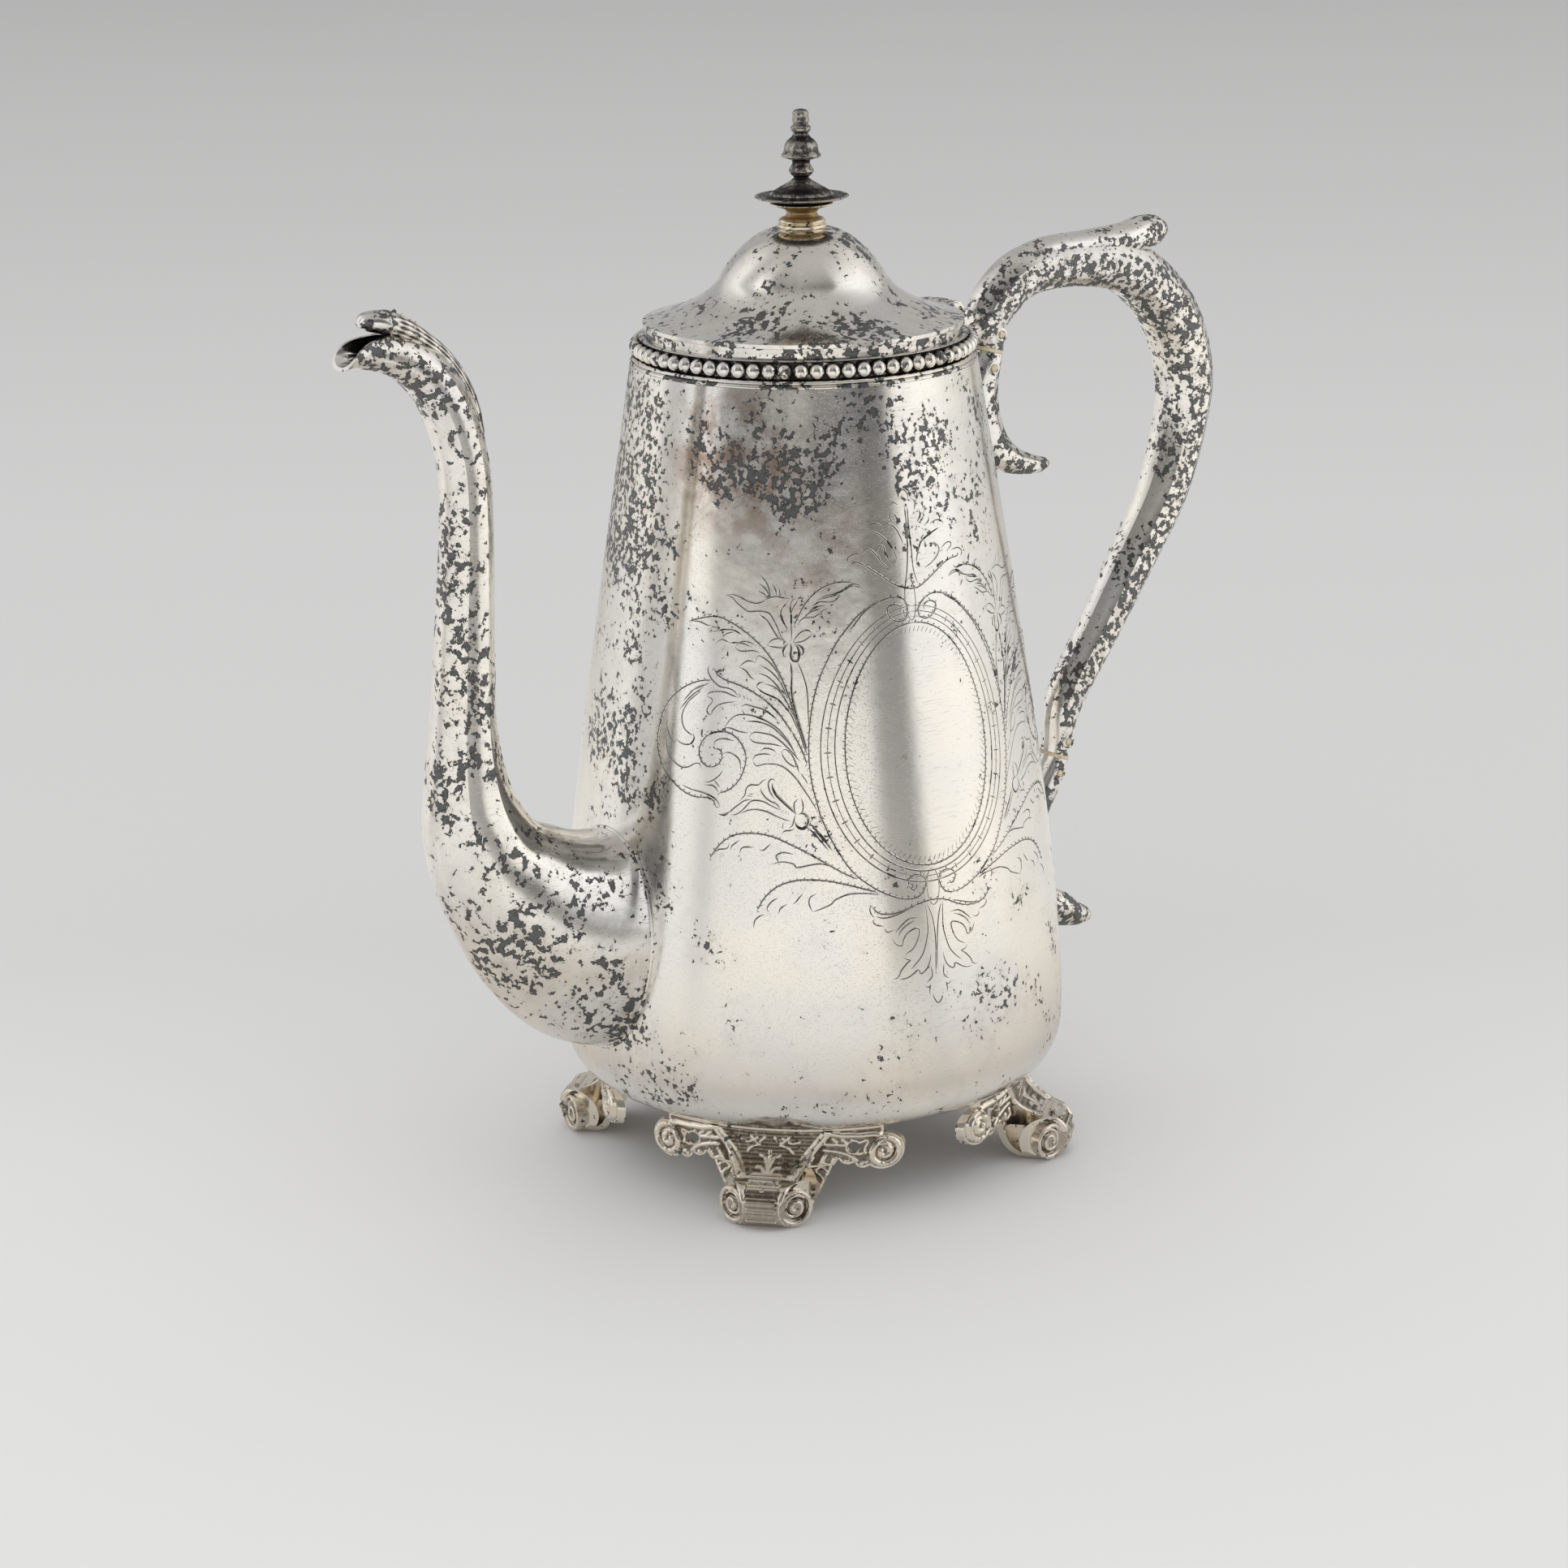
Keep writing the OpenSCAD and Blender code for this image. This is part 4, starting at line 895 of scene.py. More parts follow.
KNOP = [(3, 0), (1.6, 0.05), (-2.2, 0.16), (-3.2, 0.2), (-2.3, 0.235), (-1.75, 0.275), (-2.2, 0.315),
        (-2.75, 0.36), (-2.7, 0.4), (-0.3, 0.435), (0, 0.455), (-0.3, 0.48), (-0.7, 0.5), (-0.75, 0.56),
        (-1.35, 0.62), (-2.6, 0.67), (-3.1, 0.71), (-2.4, 0.75), (-2.35, 0.785), (-3.1, 0.815),
        (-3, 0.835), (-2.7, 0.86), (-2.9, 0.895), (-3, 0.91), (-2.85, 0.95), (-3.4, 0.985)]
spin_piece("finial_knob", [(0, Z - 12.2), (STUD, Z - 12.2), (STUD, Z)]
           + [(R + out, Z + up * H) for out, up in KNOP] + [(0, Z + H)],
           FINIAL_PLATE, 96, soft=0.3, body="lid", stands_for=("finial_knop",), finish="dark_silver")

# ---------------------------------------------------------------- spout

SPOUT_SPOTS = (((-94, -3, 176), 44, 0.16), ((-94, -3, 120), 40, 0.14), ((-108, -4, 210), 24, 0.34),
               ((-86, -14, 74), 26, 0.1))
SPOUT_PLATE = plated("spout_plate", amount=0.14, size=1.9, specks=0.34, scratches=0.6, rough=0.13,
                     spots=SPOUT_SPOTS, copper=0.2, painted_shade_facing=((-0.62, -0.78, -0.05), 0.2))
SHAFT_X, SHAFT_D, MOUTH_Z, REACH, SPOUT_WALL = -94.0, 13.2, 215.5, 125.6, 0.9
ROOT_X = -float(body_radius(SPOUT_ROOT_Z))
SPOUT_SPAN = 149.6
RISE = (MOUTH_Z - SPOUT_ROOT_Z) / SPOUT_SPAN


def spout_z(up):
    """Height in the pot of a height out of SPOUT_SPAN over the spout's root"""
    return SPOUT_ROOT_Z + up * RISE


H, W, D = SPOUT_ROOT_H, SPOUT_ROOT_W, SHAFT_D
SPOUT = through([
    (ROOT_X + 6, spout_z(-0.6), H + 0.5, W + 0.4, 0),
    (ROOT_X - 5, spout_z(1.9), H * 0.945, W * 0.97, 0),
    (SHAFT_X + 17.6, spout_z(8), H * 0.805, W * 0.88, 0),
    (SHAFT_X + 9, spout_z(16), H * 0.655, W * 0.77, 0.005),
    (SHAFT_X + 2.6, spout_z(24.4), H * 0.53, W * 0.65, 0.015),
    (SHAFT_X - 1.4, spout_z(34.6), H * 0.44, W * 0.57, 0.025),
    (SHAFT_X - 2.8, spout_z(45), H * 0.35, D * 1.4, 0.035),
    (SHAFT_X - 2.9, spout_z(58.4), D * 1.22, D * 1.24, 0.04),
    (SHAFT_X - 1.7, spout_z(77.6), D * 1.09, D * 1.1, 0.04),
    (SHAFT_X, spout_z(106.1), D * 0.97, D * 0.98, 0.04),
    (SHAFT_X - 0.6, spout_z(122), D * 0.93, D * 0.95, 0.04),
    (SHAFT_X - 4.4, spout_z(134.9), D * 0.94, D * 0.95, 0.04),
    (SHAFT_X - 10.2, spout_z(143), D * 0.88, D * 0.92, 0.035),
    (SHAFT_X - 18, spout_z(147.7), D * 0.75, D * 0.81, 0.03),
    (-REACH + 6, spout_z(149.4), D * 0.68, D * 0.76, 0.01),
    (-REACH + 1, spout_z(149.6), D * 0.68, D * 0.86, 0),
    (-REACH - 4, spout_z(149.9), D * 0.68, D * 0.94, 0),
], 8)


SLAB_HALF = 20.0


def slab(outline):
    """A block across the pot from an outline of (x, z) in the plane of symmetry"""
    grid = np.array([[(x, y, z) for x, z in outline] for y in (-SLAB_HALF, SLAB_HALF)])
    return loose(*skin(grid), name="slab")


def solid_body():
    """The body without its inside, a hair larger, to cut other pieces off at its skin"""
    line = np.vstack([[(0, BASE_Z - GAP)], body_line(-GAP), [(0, TOP_Z + 6)]])
    points, faces, _ = turned(line, ROUND_STEPS, closed=False)
    return loose(points, faces, "body_space")


def mouth_outline():
    tip, z = -REACH, MOUTH_Z
    # the lip sweeps up and back from its point, and a slot runs on under the leaf
    lip = bezier((tip + 0.6, z - 4.2), (tip + 1.4, z - 2.4), (tip + 3.4, z + 1.4), (tip + 8.0, z + 2.0), 16)
    slot = [(tip + 14.0, z + 3.0), (tip + 14.0, z + 12), (tip - 10, z + 12)]
    return np.vstack([[(tip - 10, z - 12), (tip + 0.7, z - 12)], lip, slot])


outer = loose(*skin(rings(SPOUT, 64)), name="spout")
inner = loose(*skin(rings(SPOUT, 64, SPOUT_WALL)), name="bore")
spout_mesh = carve(outer, [inner, solid_body(), slab(mouth_outline())])
dress("swan_spout", spout_mesh, SPOUT_PLATE, sharp=17, stands_for=("spout",))


SEAM_LIFT = 0.1


def seam_on_body(grid):
    """Where a tube's skin meets the body: one point for each line along the tube"""
    gaps = np.hypot(grid[:, :, 0], grid[:, :, 1]) - body_radius(grid[:, :, 2]) - SEAM_LIFT
    seam = []
    for line, gap in zip(grid.swapaxes(0, 1), gaps.T):
        i = np.nonzero(gap > 0)[0][0]
        if i == 0:
            seam.append(line[0])
        else:
            t = gap[i - 1] / (gap[i - 1] - gap[i])
            seam.append(line[i - 1] + t * (line[i] - line[i - 1]))
    return np.array(seam)


SEAM_PLATE = plated("seam_plate", amount=0.3, size=2.0, specks=0.4, scratches=0.2, rough=0.22)
seam = seam_on_body(rings(SPOUT, 160))
make_piece("spout_seam", *wire(outside_body(seam, -0.05), 0.42, 8, closed=True), SEAM_PLATE, sharp=60)

# ---------------------------------------------------------------- leaf at the back of the mouth

LEAF_PLATE = plated("leaf_plate", amount=0.32, size=2.2, specks=0.4, scratches=0.3, rough=0.17,
                    hollow="hollow", recess_tarnish_and_shade_tone=(0.09, 0.082, 0.075, 1.0))
LEAF = through([(SHAFT_X + x, MOUTH_Z + z, depth, width, 0) for x, z, depth, width in (
    (-25.6, 5.5, 1.6, 3), (-23.6, 6.1, 4.6, 6.4), (-19.6, 5.6, 5.6, 8.4), (-14.8, 3.6, 5.6, 7.6),
    (-10.2, 0.7, 4.8, 6), (-5, -3.6, 4.4, 4.6), (-0.4, -9.6, 4, 3.4), (2.6, -16, 3.6, 2.4),
    (4.6, -23, 2.2, 1.4))], 14)


def spout_leaf():
    """Cast leaf: a scooped front lobe, a pricked field, then veined lobes running down into the tail"""
    sides = 72
    grid = rings(LEAF, sides)
    along = np.linspace(0, 1, len(grid))[:, None]
    turn = round_turn(sides)[None, :]
    middle = grid.mean(axis=1, keepdims=True)
    top = np.clip(np.cos(turn), 0, 1)
    veins = 0.5 + 0.5 * np.cos(14 * turn + 9 * along * np.sign(np.sin(turn)))
    lobes = 0.5 + 0.5 * np.cos(2 * math.pi * (along * 11 - np.abs(np.sin(turn)) * 0.8))
    field = np.clip((along - 0.26) / 0.08, 0, 1) * np.clip((0.93 - along) / 0.1, 0, 1)
    scoop = np.exp(-((along - 0.15) / 0.1) ** 2) * top ** 2
    depth = field * (0.085 * veins + 0.05 * lobes * (1 - top * 0.6)) + 0.13 * scoop
    rim = np.exp(-((along - 0.27) / 0.018) ** 2) * top
    # hollow marks the veins, lobes and scoop, which the leaf's finish darkens partly as tarnish and partly as
    # painted shade; the rim's crest stays bright
    hollow = np.clip(field * (0.75 * veins + 0.45 * lobes - 0.1) + 0.35 * scoop - rim, 0, 1)
    grid = middle + (grid - middle) * (1 - depth + 0.05 * rim)[:, :, None]
    points, faces = skin(grid)
    return points, faces, np.append(hollow.ravel(), (0.0, 0.0))


leaf_points, leaf_faces, leaf_hollow = spout_leaf()
make_piece("leaf_of_spout", leaf_points, leaf_faces, LEAF_PLATE, sharp=70, marks={"hollow": leaf_hollow},
           stands_for=("spout_leaf",), finish="dark_silver")


# Berries on the leaf: which ring of it, degrees round from its top, radius
BERRIES = ((34, 0, 0.62), (37, 24, 0.5), (37, -24, 0.5), (40, 0, 0.5), (43, 30, 0.42), (43, -30, 0.42),
           (31, 36, 0.42), (31, -36, 0.42), (48, 14, 0.38), (48, -14, 0.38))


def berries():
    """Berries and small buds standing on the leaf's field"""
    grid = rings(LEAF, 360)
    arc = [(math.sin(a), -math.cos(a)) for a in np.linspace(0, math.pi, 9)]
    ball, faces, _ = turned(arc, 14, closed=False)
    return joined([(ball * size + grid[row, turn % 360], faces) for row, turn, size in BERRIES])


make_piece("leaf_berries", *berries(), LEAF_PLATE, sharp=80, finish="dark_silver")

# ---------------------------------------------------------------- handle, sockets and joints

HANDLE_PLATE = plated("handle_plate", amount=0.32, size=1.6, specks=0.4, scratches=0.6, rough=0.14,
                      spots=(((112, -5, 210), 30, 0.12),), copper=0.4, painted_shade_facing=((0.1, -0.86, -0.5), 0.5))
SOCKET_PLATE = plated("socket_plate", amount=0.35, size=2.4, specks=0.4, scratches=0.4, rough=0.17,
                      painted_shade_facing=((0.5, -0.4, -0.77), 0.35))
UPPER = np.array([TOP_R + 12.7, 0, 196.3])
LOWER = np.array([BELLY_R + 13.1, 0, 88.3])
UPPER_TILT, LOWER_TILT = math.radians(16), math.radians(19)
JOINT_D, INSULATOR_T, PIN_STEP = 7.4, 1.0, 4.24
HANDLE_REACH, HANDLE_D, HANDLE_SPAN = 123.5, 13.0, 67.6
JOINT_REACH = 12  # how far from a joint's middle a tube is cut to the joint's plane


def bow_x(out):
    """Place along X of a length out of HANDLE_SPAN from the upper joint"""
    return UPPER[0] + out * (HANDLE_REACH - UPPER[0]) / HANDLE_SPAN


def bow_z(up):
    """Height of a share of the way from the lower joint to the upper"""
    return LOWER[2] + up * (UPPER[2] - LOWER[2])


D, J = HANDLE_D, JOINT_D
HANDLE = through([
    (UPPER[0] - 0.8, UPPER[2] - 3, J, J + 1, 0.02),
    (UPPER[0] + 0.4, UPPER[2] + 1.5, J, J + 1, 0.03),
    (bow_x(-0.6), UPPER[2] + 7.4, D * 0.9, D * 0.78, 0.045),
    (bow_x(4.6), UPPER[2] + 14.2, D * 0.98, D * 0.88, 0.05),
    (bow_x(12.8), UPPER[2] + 18.7, D * 0.98, D * 0.9, 0.05),
    (bow_x(28.5), UPPER[2] + 19.3, D * 1.03, D * 0.95, 0.05),
    (bow_x(43.6), UPPER[2] + 15.4, D * 1.12, D * 1.05, 0.05),
    (bow_x(55.6), UPPER[2] + 3.6, D * 1.2, D * 1.15, 0.05),
    (bow_x(60.8), bow_z(0.9), D * 1.22, D * 1.16, 0.05),
    (bow_x(60.3), bow_z(0.78), D * 1.15, D * 1.1, 0.05),
    (bow_x(54.9), bow_z(0.61), D * 1.07, D * 1.03, 0.05),
    (bow_x(45.2), bow_z(0.455), D, D * 0.97, 0.05),
    (bow_x(35), bow_z(0.3), D * 0.92, D * 0.88, 0.05),
    (LOWER[0] + 3.4, bow_z(0.135), D * 0.82, D * 0.78, 0.045),
    (LOWER[0] + 0.3, bow_z(0.015), J, J + 1, 0.03),
    (LOWER[0] - 1.2, bow_z(-0.03), J, J + 1, 0.02),
], 9)
THUMB = through([
    (bow_x(5), UPPER[2] + 20.5, 3, 5, 0), (bow_x(15.6), UPPER[2] + 22.8, 6.5, 8.4, 0),
    (bow_x(28.4), UPPER[2] + 23.2, 7.2, 9.4, 0), (bow_x(40), UPPER[2] + 23.6, 7.8, 9.4, 0),
    (bow_x(46.6), UPPER[2] + 24.4, 8.8, 9, 0), (bow_x(51), UPPER[2] + 25, 7.6, 8, 0),
    (bow_x(53.4), UPPER[2] + 25.3, 4.4, 5.2, 0), (bow_x(54), UPPER[2] + 25.4, 3.0, 3.6, 0)], 10)


def joint_axis(tilt):
    return np.array([math.sin(tilt), 0.0, math.cos(tilt)])


def leaned(points, at, tilt):
    """Points made round a joint's middle, moved to the joint and leaned as it leans"""
    return np.array(points) @ np.array(Matrix.Rotation(tilt, 3, "Y")).T + at


def end_cut(stations, at, axis, keep):
    """A tube that starts or ends at a joint's plane: its rings are slid on to the plane"""
    grid = rings(stations, 64)
    height = (grid - at) @ axis
    ahead = np.gradient(grid.mean(1), axis=0)
    for i in np.nonzero(np.linalg.norm(grid.mean(1) - at, axis=1) < JOINT_REACH)[0]:
        step = ahead[i] / np.dot(ahead[i], axis)
        for k in np.nonzero(height[i] * keep < 0)[0]:
            grid[i, k] -= step * height[i, k]
    return grid


def handle_grid():
    half = INSULATOR_T / 2
    top, low = joint_axis(UPPER_TILT), joint_axis(LOWER_TILT)
    cut_top = end_cut(HANDLE, UPPER + top * half, top, 1)
    cut_low = end_cut(HANDLE, LOWER + low * half, low, 1)
    n = len(cut_top) // 2
    return np.concatenate([cut_top[:n], cut_low[n:]])


make_piece("bow_handle", *joined([skin(handle_grid()), skin(rings(THUMB, 48))]), HANDLE_PLATE, sharp=17,
           stands_for=("handle",), finish="dark_silver")

# Sockets: from the joint's middle along X and up, depth, width, flat
UPPER_SOCKET = [(0.8, 2, 7.4, 8.4, 0.02), (0, -1, 7.4, 8.4, 0.03), (-3.4, -9.5, 11.8, 9, 0.03),
                (-2.6, -17.5, 11.4, 9.4, 0.03), (1, -24.5, 9.8, 9, 0.03), (6.6, -28.6, 7.4, 8, 0.03),
                (13, -30.6, 5.2, 6.4, 0.02), (17.2, -31.1, 3.4, 3.8, 0), (18.4, -31.1, 2.0, 2.2, 0),
                (18.8, -31.1, 0.9, 1.0, 0)]
LOWER_SOCKET = [(0.8, 2, 7.4, 8.4, 0.02), (-0.4, -1.5, 7.4, 8.4, 0.03), (-3.4, -7.5, 8.4, 8.6, 0.03),
                (-8, -15, 9.4, 9, 0.03), (-11.2, -24, 10, 9.4, 0.03), (-10.2, -33, 10.4, 9.8, 0.03),
                (-5, -39, 10.4, 10, 0.03), (1.4, -42, 9.4, 9.4, 0.02), (6, -44.2, 6.8, 8, 0.01),
                (9.6, -45.2, 4.6, 5.4, 0), (11.0, -45.4, 2.6, 3.2, 0), (11.4, -45.4, 1.2, 1.5, 0)]
JOINTS = (("upper", UPPER, UPPER_TILT, UPPER_SOCKET), ("lower", LOWER, LOWER_TILT, LOWER_SOCKET))
for name, at, tilt, stations in JOINTS:
    axis = joint_axis(tilt)
    line = through([(at[0] + s[0], at[2] + s[1], *s[2:]) for s in stations], 9)
    grid = end_cut(line, at - axis * INSULATOR_T / 2, axis, -1)
    shape = outside_body(grid.reshape(-1, 3), 0.3).reshape(grid.shape)
    make_piece(name + "_horn", *skin(shape), SOCKET_PLATE, sharp=20, stands_for=(name + "_socket",))

BONE = aged_bone("aged_bone")
TENON = [(0, -8.5), (2.2, -8.5), (2.2, 8.5), (0, 8.5)]
PIN = [(0, -4.8), (0.5, -4.74), (0.8, -4.56), (0.9, -4.3), (0.9, 4.3), (0.8, 4.56), (0.5, 4.74), (0, 4.8)]
PIN_RIM = [(0.95, 3.6), (1.75, 3.6), (1.8, 4.28), (1.6, 4.46), (1.25, 4.5), (0.95, 4.36)]
for name, at, tilt, _ in JOINTS:
    half, r = INSULATOR_T / 2, JOINT_D / 2
    edge = softened([(0, -half), (r, -half), (r, half), (0, half)], 0.2, closed=False)
    disc, disc_faces, _ = turned(edge, 64, closed=False)
    disc = np.array(disc) * (1.0, 1.12, 1.0)
    tenon, tenon_faces, _ = turned(TENON, 32, closed=False)
    points, faces = joined([(disc, disc_faces), (tenon, tenon_faces)])
    make_piece(name + "_washer", leaned(points, at, tilt), faces, BONE, sharp=40,
               stands_for=(name + "_insulator",), finish="bone")
    heads, rims = [], []
    for step in (-PIN_STEP, PIN_STEP):
        rod, rod_faces, _ = turned(PIN, 32, closed=False)
        heads.append((np.array([(x, z, y + step) for x, y, z in rod]), rod_faces))
        for side in (-1, 1):
            rim, rim_faces, _ = turned(softened(PIN_RIM, 0.12), 32)
            rims.append((np.array([(x, z * side, y + step) for x, y, z in rim]), rim_faces))
    points, faces = joined(heads)
    make_piece(name + "_pegs", leaned(points, at, tilt), faces, BONE, sharp=40,
               stands_for=(name + "_pins",), finish="bone")
    points, faces = joined(rims)
    make_piece(name + "_peg_rims", leaned(points, at, tilt), faces, SOCKET_PLATE, sharp=40)

# ---------------------------------------------------------------- feet

FOOT_PLATE = plated("foot_plate", amount=0.16, size=1.8, specks=0.4, scratches=0.3, rough=0.19,
                    tone=(0.86, 0.79, 0.68, 1.0), hollow="hollow", recess_tarnish_and_shade_tone=(0.115, 0.088, 0.058, 1.0))
WING_X, WING_Z = 26.6, 15.4
TOE_X, TOE_Z = 59.8, 5.55


def swirl(x, z, start, end, first, last, count):
    """A spiral ridge: angles in degrees, 0 pointing away from the middle of the foot, 90 upwards"""
    out = []
    for t in np.linspace(0, 1, count):
        a, r = math.radians(start + (end - start) * t), first + (last - first) * t ** 0.85
        out.append((x + r * math.cos(a), z + r * math.sin(a)))
    return out


# Ridges of one half of a foot as (width, height, points), a point being (distance from the middle, height)
FOOT_RIDGES = [
    (1.25, 0.62, [(13.6, 21.2), (17.0, 20.4), (21.0, 20.1), (24.4, 20.0)]
     + swirl(WING_X, WING_Z, 100, -560, 4.3, 0.7, 44)),
    (0.8, 0.4, [(11.6, 18.6), (14.6, 18.2), (18.0, 17.9), (21.0, 17.2), (22.6, 15.6)]),
    (0.7, 0.35, [(13.0, 16.8), (16.0, 16.3), (18.8, 15.2), (20.4, 13.6)]),
    (1.3, 0.55, [(14.4, 21.4), (11.2, 17.6), (8.0, 13.6), (5.6, 10.4), (4.5, 7.6)]),
    (0.6, 0.25, [(12.6, 21.0), (9.4, 17.0), (6.4, 13.0), (4.4, 10.2)]),
    (0.9, 0.5, [(15.4, 14.6), (14.3, 11.4), (12.6, 8.0), (11.2, 5.4)]),
    (0.8, 0.45, [(13.2, 15.4), (11.6, 12.4), (9.8, 9.9), (8.2, 8.8)]),
    (0.6, 0.4, [(12.2, 13.6), (13.6, 13.2), (14.6, 12.2)]),
    (0.6, 0.4, [(11.2, 12.0), (12.8, 11.4), (13.8, 10.3)]),
    (0.6, 0.4, [(10.2, 10.5), (11.8, 9.7), (12.8, 8.5)]),
    (0.6, 0.4, [(9.0, 9.3), (10.6, 8.3), (11.6, 7.0)]),
    (0.7, 0.4, swirl(22.4, 12.6, 60, -300, 1.9, 0.5, 16)),
    (0.6, 0.36, swirl(18.4, 13.4, 40, -280, 1.6, 0.4, 14)),
    (0.6, 0.36, swirl(15.4, 12.9, 40, -280, 1.3, 0.4, 12)),
    (0.5, 0.3, [(19.4, 19.0), (20.4, 18.2), (20.8, 17.4)]),
    (0.5, 0.3, [(17.2, 19.2), (18.2, 18.5), (18.6, 17.9)]),
    (0.5, 0.3, [(15.0, 19.5), (16.0, 18.8), (16.4, 18.2)]),
    (0.75, 0.34, [(0, 10.0), (0, 13.0), (0, 16.4)]),
    (0.6, 0.3, [(0.2, 12.8), (1.2, 14.6), (2.4, 15.2)]),
    (0.6, 0.3, [(0.2, 11.4), (1.6, 12.9), (2.9, 13.0)]),
    (0.6, 0.3, [(0.2, 10.4), (1.6, 11.2), (2.5, 10.9)]),
    (0.6, 0.28, [(3.2, 19.6), (5.2, 18.4), (7.2, 18.8)]),
    (0.6, 0.28, [(2.6, 17.8), (4.4, 17.2), (5.6, 15.8)]),
    (0.6, 0.28, [(1.2, 19.8), (2.8, 18.4), (4.6, 19.8)]),
]


def ridge_height(t, z):
    """Height of the ornament over the foot's face at each point"""
    across = np.abs(t)
    out = np.zeros_like(t)
    for width, height, line in FOOT_RIDGES:
        line = through(line, 4) if len(line) < 20 else np.array(line)
        best = np.full(t.shape, 1e9)
        for a, b in zip(line[:-1], line[1:]):
            v = b - a
            s = np.clip(((across - a[0]) * v[0] + (z - a[1]) * v[1]) / max(v @ v, 1e-9), 0, 1)
            best = np.minimum(best, np.hypot(across - a[0] - s * v[0], z - a[1] - s * v[1]))
        out = np.maximum(out, height * np.clip(1 - (best / (width * 0.62)) ** 2, 0, 1) ** 0.8)
    edge = np.interp(z, [7.6, 10.4, 13.6, 17.6, 21.4], [3.4, 4.6, 7.0, 10.2, 13.2])
    panel = (across < edge) & (z > 8.2)
    hatch = 0.09 * (0.5 + 0.5 * np.cos(2 * math.pi * z / 0.92))
    return np.where(panel, np.maximum(out, hatch), out)


RELIEF_STEP = 0.3
EDGE_STEP = 1.5  # a step in depth that marks an edge of the casting


def foot_relief():
    """The ornament of a foot, laid over the face of its casting as rays from in front find it"""
    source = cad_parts["foot_handle_back"].data
    back = Matrix.Rotation(math.radians(-45), 3, "Z")
    tree = BVHTree.FromPolygons([back @ v.co / MM for v in source.vertices],
                                [tuple(p.vertices) for p in source.polygons])
    ts = np.arange(-31.2, 31.21, RELIEF_STEP)
    zs = np.arange(0.5, 21.7, RELIEF_STEP)
    depth = np.full((len(zs), len(ts)), np.nan)
    for i, z in enumerate(zs):
        for k, t in enumerate(ts):
            hit = tree.ray_cast(Vector((90.0, t, z)), Vector((-1.0, 0.0, 0.0)))
            if hit[0] is not None and hit[0].x > 44.0:
                depth[i, k] = hit[0].x
    there = ~np.isnan(depth)
    calm = np.where(there, depth, 0)
    # the ornament fades out towards every edge and step of the casting
    across = np.abs(np.diff(calm, axis=1)) > EDGE_STEP
    upward = np.abs(np.diff(calm, axis=0)) > EDGE_STEP
    jump = np.zeros_like(there)
    jump[:, 1:] |= across
    jump[:, :-1] |= across
    jump[1:] |= upward
    jump[:-1] |= upward
    fade = (there & ~jump).astype(float)
    for _ in range(2):
        wide = np.pad(fade, 1, mode="edge")
        fade = np.minimum(fade, (wide[:-2, 1:-1] + wide[2:, 1:-1] + wide[1:-1, :-2] + wide[1:-1, 2:]) / 4)
    grid_t, grid_z = np.meshgrid(ts, zs)
    height = ridge_height(grid_t, grid_z)
    lift = height * fade - 0.06 * (1 - fade) + 0.02
    slope = np.gradient(calm, RELIEF_STEP)
    lean = np.stack([np.ones_like(calm), -np.clip(slope[1], -2, 2), -np.clip(slope[0], -2, 2)], axis=2)
    lean /= np.linalg.norm(lean, axis=2)[:, :, None]
    place = np.stack([calm, grid_t, grid_z], axis=2) + lean * lift[:, :, None]
    number = np.full(there.shape, -1)
    number[there] = np.arange(there.sum())
    faces = []
    for i in range(len(zs) - 1):
        for k in range(len(ts) - 1):
            quad = [(i, k), (i, k + 1), (i + 1, k + 1), (i + 1, k)]
            if all(there[q] for q in quad):
                depths = [calm[q] for q in quad]
                if max(depths) - min(depths) < EDGE_STEP:
                    faces.append([number[q] for q in quad])
    # hollow marks the ground between the ridges, which the foot's finish darkens partly as tarnish and partly
    # as painted shade, less low down and towards the sides
    hollow = np.clip(0.85 - height / 0.3, 0, 1)
    hollow = np.where(grid_z < 8.0, hollow * 0.6, hollow)
    hollow = np.where(np.abs(grid_t) > np.interp(grid_z, [5, 21], [9, 15]), hollow * 0.8, hollow)
    return place[there], faces, hollow[there]


def toe_volutes():
    """Spirals in the recesses of the two scrolls at a toe, each over a ground darkened partly by tarnish and
    partly by painted shade
    """
    parts, hollow = [], []
    for side in (-1, 1):
        turn = math.radians(37 * side)
        axis = np.array([math.cos(turn), math.sin(turn), 0])
        across = np.array([-math.sin(turn), math.cos(turn), 0])
        middle = np.array([TOE_X + 1, side * 7.1, TOE_Z - 0.2]) + axis * 0.5
        up = np.array([0.0, 0.0, 1.0])

        def at(r, angle, lift):
            return (middle + across * (r * math.cos(angle) * side) + up * (r * math.sin(angle))
                    + axis * lift)

        disc = np.linspace(0, 2 * math.pi, 40, endpoint=False)
        # a dark ground disc under each spiral: tarnish and painted shade of the scroll's recess
        ground = [at(0, 0, 0.04)] + [at(3.42, a, 0.04) for a in disc]
        parts.append((np.array(ground), [(0, 1 + k, 1 + (k + 1) % 40) for k in range(40)]))
        hollow.append(np.ones(41))
        turns = np.linspace(0, 1, 70)
        spiral = np.array([at(3.2 - 2.5 * t, math.radians(40 + 560 * t), 0.2 + 0.75 * t) for t in turns])
        parts.append(wire(spiral, 0.42, 8))
        hollow.append(np.zeros(len(parts[-1][0])))
        rim = np.array([at(4.0, a, 0.72) for a in np.linspace(0, 2 * math.pi, 48, endpoint=False)])
        parts.append(wire(rim, 0.36, 8, closed=True))
        hollow.append(np.zeros(len(parts[-1][0])))
    points, faces = joined(parts)
    return points, faces, np.concatenate(hollow)


